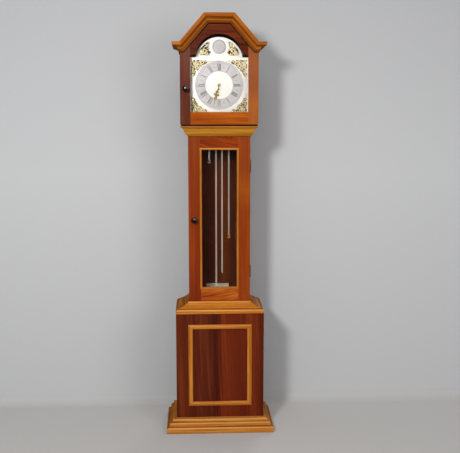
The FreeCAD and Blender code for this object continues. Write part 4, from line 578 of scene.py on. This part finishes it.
def weightHook(name, x, drop, made):
    wire, eye, bend = hookSizes["wire"], hookSizes["eye"], hookSizes["bend"]
    y = chainSizes["y"]
    top = chainSizes["level"] - drop - hookSizes["gap"]
    foot = top - 2 * eye - wire - hookSizes["shank"]
    bpy.ops.mesh.primitive_torus_add(major_segments=28, minor_segments=10, major_radius=eye, minor_radius=wire,
                                     rotation=(math.pi / 2, 0, 0), location=(x, y, top - eye - wire))
    ring = bpy.context.object
    bpy.ops.mesh.primitive_cylinder_add(vertices=12, radius=wire, depth=hookSizes["shank"],
                                        location=(x, y, foot + hookSizes["shank"] / 2))
    shank = bpy.context.object
    bow = wireArc(x, y, foot - bend, bend, wire, math.radians(90), math.radians(270), 24)
    return finishPiece(joined([ring, shank, bow]), name, made, "case", 50)


outside = chainSizes["apart"] + chainSizes["radius"]
goingHook = weightHook("goingHook", -outside, chainSizes["goingDrop"], chainSteel)
strikeHook = weightHook("strikeHook", outside, chainSizes["strikeDrop"], hookBrass)
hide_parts("weight_hooks")
print("hooks ready")

# engraved numerals: strokes from (x, z) to (x, z) with a width, in shares of the letter's height
letters = {
    "I": (0.15, [(0.075, 0, 0.075, 1, 0.100), (0.015, 0.015, 0.135, 0.015, 0.03),
                 (0.015, 0.985, 0.135, 0.985, 0.03)]),
    "V": (0.34, [(0.06, 1, 0.17, 0, 0.100), (0.28, 1, 0.175, 0, 0.03), (0, 0.985, 0.12, 0.985, 0.03),
                 (0.22, 0.985, 0.34, 0.985, 0.03)]),
    "X": (0.34, [(0.06, 1, 0.28, 0, 0.100), (0.28, 1, 0.06, 0, 0.03), (0, 0.985, 0.12, 0.985, 0.03),
                 (0.22, 0.985, 0.34, 0.985, 0.03), (0, 0.015, 0.12, 0.015, 0.03),
                 (0.22, 0.015, 0.34, 0.015, 0.03)]),
}
dial = {"z": 1.634, "front": -0.0355, "numeral": 0.0285, "foot": 0.0675, "deep": 0.00012,
        "stem": (0.0750, 0.0900, 0.0006), "lozenge": (0.0825, 0.0011, 0.0031),
        "minutes": (0.0990, 0.1025, 0.00045, 0.0009), "tracks": (0.0986, 0.1029, 0.0652), "trackWire": 0.00022,
        "figures": 0.1063, "figureSize": 0.0062, "figureDepth": 0.00006}


def stroke(x0, z0, x1, z1, width, angle):      # a thin bar on the ring, turned about the dial's centre
    span = math.hypot(x1 - x0, z1 - z0)
    bpy.ops.mesh.primitive_cube_add(size=1, location=(0, 0, 0))
    bar = bpy.context.object
    bar.scale = (width, dial["deep"] * 2, span)
    bar.rotation_euler = (0, math.atan2(x1 - x0, z1 - z0), 0)
    bar.location = ((x0 + x1) / 2, 0, (z0 + z1) / 2)
    bpy.ops.object.transform_apply(location=True, rotation=True, scale=True)
    bar.rotation_euler = (0, angle, 0)
    bar.location = (0, dial["front"], dial["z"])
    bpy.ops.object.transform_apply(location=True, rotation=True, scale=False)
    return bar


marks = []
for hour, text in enumerate(("XII", "I", "II", "III", "IIII", "V", "VI", "VII", "VIII", "IX", "X", "XI")):
    high = dial["numeral"]
    start = -sum(letters[letter][0] for letter in text) * high / 2
    for letter in text:
        advance, strokes = letters[letter]
        for x0, z0, x1, z1, width in strokes:
            marks.append(stroke(start + x0 * high, dial["foot"] + z0 * high, start + x1 * high,
                                dial["foot"] + z1 * high, width * high, hour * math.pi / 6))
        start += advance * high
for hour in range(12):      # half hour marks, a lozenge on a thin stem
    half = (hour + 0.5) * math.pi / 6
    foot, head, width = dial["stem"]
    marks.append(stroke(0, foot, 0, head, width, half))
    middle, reach, width = dial["lozenge"]
    marks.append(stroke(-reach, middle - reach, reach, middle + reach, width, half))
for minute in range(60):
    foot, head, narrow, wide = dial["minutes"]
    marks.append(stroke(0, foot, 0, head, wide if minute % 5 == 0 else narrow, minute * math.pi / 30))
for radius in dial["tracks"]:
    bpy.ops.mesh.primitive_torus_add(major_segments=120, minor_segments=4, major_radius=radius,
                                     minor_radius=dial["trackWire"], rotation=(math.pi / 2, 0, 0),
                                     location=(0, dial["front"], dial["z"]))
    marks.append(bpy.context.object)
finishPiece(joined(marks), "dialNumerals", wax, "case")

figures = []
for step in range(12):      # small five minute figures outside the track
    angle = step * math.pi / 6
    bpy.ops.object.text_add(location=(dial["figures"] * math.sin(angle), dial["front"] - dial["deep"],
                                      dial["z"] + dial["figures"] * math.cos(angle)),
                            rotation=(math.pi / 2, angle, 0))
    figure = bpy.context.object
    figure.data.body = str(step * 5 or 60)
    figure.data.size = dial["figureSize"]
    figure.data.align_x = "CENTER"
    figure.data.align_y = "CENTER"
    figure.data.extrude = dial["figureDepth"]
    bpy.ops.object.convert(target="MESH")
    figures.append(bpy.context.object)
finishPiece(joined(figures), "dialFigures", wax, "case")

# rings engraved in the arch boss
bossLines = []
for radius in bossSizes["lines"]:
    bpy.ops.mesh.primitive_torus_add(major_segments=64, minor_segments=4, major_radius=radius,
                                     minor_radius=bossSizes["wire"], rotation=(math.pi / 2, 0, 0),
                                     location=(bossSizes["x"], bossSizes["front"], bossSizes["z"]))
    bossLines.append(bpy.context.object)
finishPiece(joined(bossLines), "bossLines", wax, "case")
print("dial ready")

# relief of the castings: C scrolls as (x, z, bend, start, turn) with angles in degrees, leaves as
# (x, z, length, width, angle), both in shares of the casting's leg, and drawn for the upper right corner
relief = {"y": -0.0359, "wire": 0.0019, "flat": 0.75, "leg": 0.1295, "archLeg": 0.1060, "highMiddle": 1.619,
          "archFoot": 1.759}
cornerScrolls = [
    (0.845, 0.845, 0.070, -45, 300), (0.845, 0.845, 0.034, 120, 260),
    (0.690, 0.880, 0.052, 190, 290), (0.590, 0.905, 0.040, 10, -270), (0.470, 0.925, 0.030, 190, 270),
    (0.720, 0.775, 0.040, 40, 260), (0.380, 0.945, 0.020, 20, -250),
]
cornerLeaves = [
    (0.930, 0.930, 0.050, 0.020, 45), (0.780, 0.945, 0.045, 0.014, 10), (0.640, 0.955, 0.040, 0.013, -10),
    (0.530, 0.955, 0.040, 0.012, 15), (0.625, 0.835, 0.040, 0.014, -35), (0.545, 0.865, 0.030, 0.010, -10),
    (0.300, 0.950, 0.050, 0.009, 2), (0.760, 0.830, 0.035, 0.012, 60), (0.690, 0.745, 0.040, 0.014, -45),
    (0.430, 0.955, 0.035, 0.010, -12),
]
archScrolls = [
    (0.610, 0.240, 0.085, 200, 300), (0.610, 0.240, 0.040, 20, 250), (0.760, 0.180, 0.055, 100, -280),
    (0.510, 0.420, 0.055, -60, 280), (0.450, 0.560, 0.040, 80, -260), (0.470, 0.140, 0.035, 100, 260),
]
archLeaves = [
    (0.690, 0.330, 0.060, 0.018, -50), (0.600, 0.440, 0.050, 0.016, -60), (0.520, 0.540, 0.045, 0.014, -60),
    (0.410, 0.630, 0.040, 0.012, -55), (0.820, 0.110, 0.045, 0.014, 0), (0.400, 0.270, 0.040, 0.012, 80),
    (0.430, 0.330, 0.030, 0.010, 60), (0.560, 0.110, 0.050, 0.012, 0), (0.690, 0.100, 0.040, 0.010, 5),
]


def scrollPart(item, leg, across, up, z0):
    x, z, bend, start, turn = item
    if across < 0:
        start, turn = 180 - start, -turn
    if up < 0:
        start, turn = -start, -turn
    middle = (across * x * leg, relief["y"], z0 + up * z * leg)
    wire = relief["wire"] * (0.6 + 7 * bend)
    bar = wireArc(*middle, bend * leg, wire, math.radians(start), math.radians(turn),
                  max(8, int(abs(turn) / 22)), 8)
    angle = math.radians(start + turn)
    bpy.ops.mesh.primitive_uv_sphere_add(segments=10, ring_count=6, radius=wire * 1.5,
                                         location=(middle[0] + bend * leg * math.cos(angle), middle[1],
                                                   middle[2] + bend * leg * math.sin(angle)))
    return [bar, bpy.context.object]


def leafPart(item, leg, across, up, z0):
    x, z, length, width, angle = item
    bpy.ops.mesh.primitive_uv_sphere_add(segments=12, ring_count=8, radius=1,
                                         location=(across * x * leg, relief["y"], z0 + up * z * leg))
    leaf = bpy.context.object
    leaf.scale = (length * leg, relief["wire"], width * leg)
    leaf.rotation_euler = (0, -math.radians(angle) * across * up, 0)
    return leaf


def casting(name, scrolls, leaves, leg, across, up, z0, mirrored):
    parts = []
    for item in scrolls:
        parts += scrollPart(item, leg, across, up, z0)
        if mirrored:      # the same again on the other side of the corner's diagonal
            x, z, bend, start, turn = item
            if x != z:
                parts += scrollPart((z, x, bend, 90 - start, -turn), leg, across, up, z0)
    for item in leaves:
        parts.append(leafPart(item, leg, across, up, z0))
        if mirrored:
            x, z, length, width, angle = item
            if x != z:
                parts.append(leafPart((z, x, length, width, 90 - angle), leg, across, up, z0))
    piece = joined(parts)
    for vertex in piece.data.vertices:      # flatten the relief onto its ground
        vertex.co.y = relief["y"] + (vertex.co.y - relief["y"]) * relief["flat"]
    finishPiece(piece, name, castBrass, "case", 50)


for name, across, up in (("castingLowLeft", -1, -1), ("castingLowRight", 1, -1),
                         ("castingHighLeft", -1, 1), ("castingHighRight", 1, 1)):
    casting(name, cornerScrolls, cornerLeaves, relief["leg"], across, up,
            dial["z"] if up < 0 else relief["highMiddle"], True)
for name, across in (("castingArchLeft", -1), ("castingArchRight", 1)):
    casting(name, archScrolls, archLeaves, relief["archLeg"], across, 1, relief["archFoot"], False)
print("castings ready")

# floor and wall in one sweep
room = {"wide": 9.0, "front": -5.0, "wall": 0.27, "high": 4.5, "round": 0.05, "behind": 5.0}
bpy.ops.mesh.primitive_plane_add(size=1, location=(0, (room["front"] + room["wall"]) / 2, 0))
sweep = bpy.context.object
sweep.scale = (room["wide"], room["wall"] - room["front"], 1)
bpy.ops.object.transform_apply(location=True, rotation=True, scale=True)
bpy.ops.object.mode_set(mode="EDIT")
bpy.ops.mesh.select_mode(type="EDGE")
bpy.ops.mesh.select_all(action="DESELECT")
bpy.ops.object.mode_set(mode="OBJECT")
for edge in sweep.data.edges:
    edge.select = all(sweep.data.vertices[i].co.y > room["wall"] - 0.01 for i in edge.vertices)
bpy.ops.object.mode_set(mode="EDIT")
bpy.ops.mesh.extrude_region_move(TRANSFORM_OT_translate={"value": (0, 0, room["high"])})
bpy.ops.object.mode_set(mode="OBJECT")
for edge in sweep.data.edges:
    ends = [sweep.data.vertices[i].co for i in edge.vertices]
    edge.select = all(end.y > room["wall"] - 0.01 and end.z < 0.01 for end in ends)
bpy.ops.object.mode_set(mode="EDIT")
bpy.ops.mesh.bevel(offset=room["round"], segments=12, affect="EDGES")
bpy.ops.mesh.select_all(action="SELECT")
bpy.ops.mesh.normals_make_consistent(inside=True)
bpy.ops.object.mode_set(mode="OBJECT")
bpy.ops.object.shade_smooth()
sweep.name = "paperSweep"

# matt studio paper, pale grey; seen from behind it is left out, and so it is for shadows
paper, tree, shader = startMaterial("studioPaper")
fibres = noise(tree, objectPlace(tree), (260, 260, 260), 1.0, 3.0)
# painted shade: the wall is drawn darker towards the top
height = calc(tree, "SUBTRACT", objectAxes(tree)[2], 1.2)
paler = ramp(tree, fibres, [(0.3, "#c3c5c6"), (0.7, "#c8c9cb")])
darker = ramp(tree, fibres, [(0.3, "#adaeb0"), (0.7, "#b2b3b5")])
upper = blend(tree, height, paler, darker)
low = calc(tree, "SUBTRACT", 1.0, calc(tree, "MULTIPLY", objectAxes(tree)[2], 18.0))
tree.links.new(blend(tree, low, upper, linear("#b6b4b2")), shader.inputs["Base Color"])
shader.inputs["Roughness"].default_value = 0.95
shader.inputs["Specular IOR Level"].default_value = 0.2
# painted darker reflection: mirrored rays see the paper as a dim grey
dim = add(tree, "ShaderNodeBsdfDiffuse", {"Color": linear("#303031")})
path = add(tree, "ShaderNodeLightPath")
shown = add(tree, "ShaderNodeMixShader", links={0: path.outputs["Is Glossy Ray"], 1: shader.outputs[0],
                                               2: dim.outputs[0]})
nothing = add(tree, "ShaderNodeBsdfTransparent")
behind = add(tree, "ShaderNodeNewGeometry").outputs["Backfacing"]
hidden = calc(tree, "MAXIMUM", behind, path.outputs["Is Shadow Ray"])
mixed = add(tree, "ShaderNodeMixShader", links={0: hidden, 1: shown.outputs[0], 2: nothing.outputs[0]})
tree.links.new(mixed.outputs[0], tree.nodes["Material Output"].inputs["Surface"])
sweep.data.materials.append(paper)

# the same paper on the floor behind the wall, for the views from the back
bpy.ops.mesh.primitive_plane_add(size=1,
                                 location=(0, room["wall"] - room["round"] + room["behind"] / 2, 0))
backFloor = bpy.context.object
backFloor.scale = (room["wide"], room["behind"], 1)
bpy.ops.object.transform_apply(location=True, rotation=True, scale=True)
backFloor.name = "paperBack"
backFloor.data.materials.append(paper)
print("room ready")


def areaLight(name, place, target, size, power, only=None):
    bpy.ops.object.light_add(type="AREA", location=place)
    lamp = bpy.context.object
    lamp.name = name
    lamp.data.shape = "DISK"
    lamp.data.size = size
    lamp.data.energy = power
    lamp.rotation_euler = (Vector(target) - Vector(place)).to_track_quat("-Z", "Y").to_euler()
    if only:
        lit = bpy.data.collections.new(name + "Receivers")
        for piece in only:
            lit.objects.link(piece)
        lamp.light_linking.receiver_collection = lit


# place, target, size in metres and power in watts; the card is a bright sheet that only the dial mirrors
lights = {
    "keyLight": ((-1.28, -3.3, 2.45), (0, 0, 1.1), 0.55, 79),
    "fillLight": ((2.4, -3.4, 2.2), (0, 0, 1.0), 2.2, 42),
    "topLight": ((0, -1.4, 4.2), (0, 0, 1.0), 2.4, 30),
    "cardLight": ((0.18, -4.3, 2.24), (0, 0, 1.7), 0.8, 9.4),
    "backLight": ((1.2, 3.2, 2.4), (0, 0.1, 1.0), 1.6, 30),
}
dialPieces = [cad[name] for name in ("dial_plate", "chapter_ring", "spandrels", "arch_boss", "minute_hand",
                                     "hour_hand")]
dialPieces += [piece for piece in bpy.data.objects if piece.name.startswith("casting")]
for name, (place, target, size, power) in lights.items():
    areaLight(name, place, target, size, power, dialPieces if name == "cardLight" else None)

# a darker room in the reflections, a pale one behind the paper
sky = {"tone": (1, 0.955, 0.94, 1), "light": 0.245, "mirrored": 0.03, "seen": 0.5}
world = bpy.data.worlds.new("studioWorld")
world.use_nodes = True
tree = world.node_tree
tree.nodes["Background"].inputs["Color"].default_value = sky["tone"]
path = add(tree, "ShaderNodeLightPath")
strength = blend(tree, path.outputs["Is Glossy Ray"], sky["light"], sky["mirrored"], "FLOAT")
strength = blend(tree, path.outputs["Is Camera Ray"], strength, sky["seen"], "FLOAT")
tree.links.new(strength, tree.nodes["Background"].inputs["Strength"])
bpy.context.scene.world = world

# the photo's camera, fitted to the edges of the case
view = {"place": (-0.117, -3.5854, 1.5032), "turn": (81.61, 0, -2.69), "lens": 59.67, "sensor": 36}
bpy.ops.object.camera_add(location=view["place"], rotation=[math.radians(angle) for angle in view["turn"]])
camera = bpy.context.object
camera.data.lens = view["lens"]
camera.data.sensor_width = view["sensor"]
bpy.context.scene.camera = camera
bpy.context.scene.view_settings.view_transform = "Standard"
print("lights and camera ready")
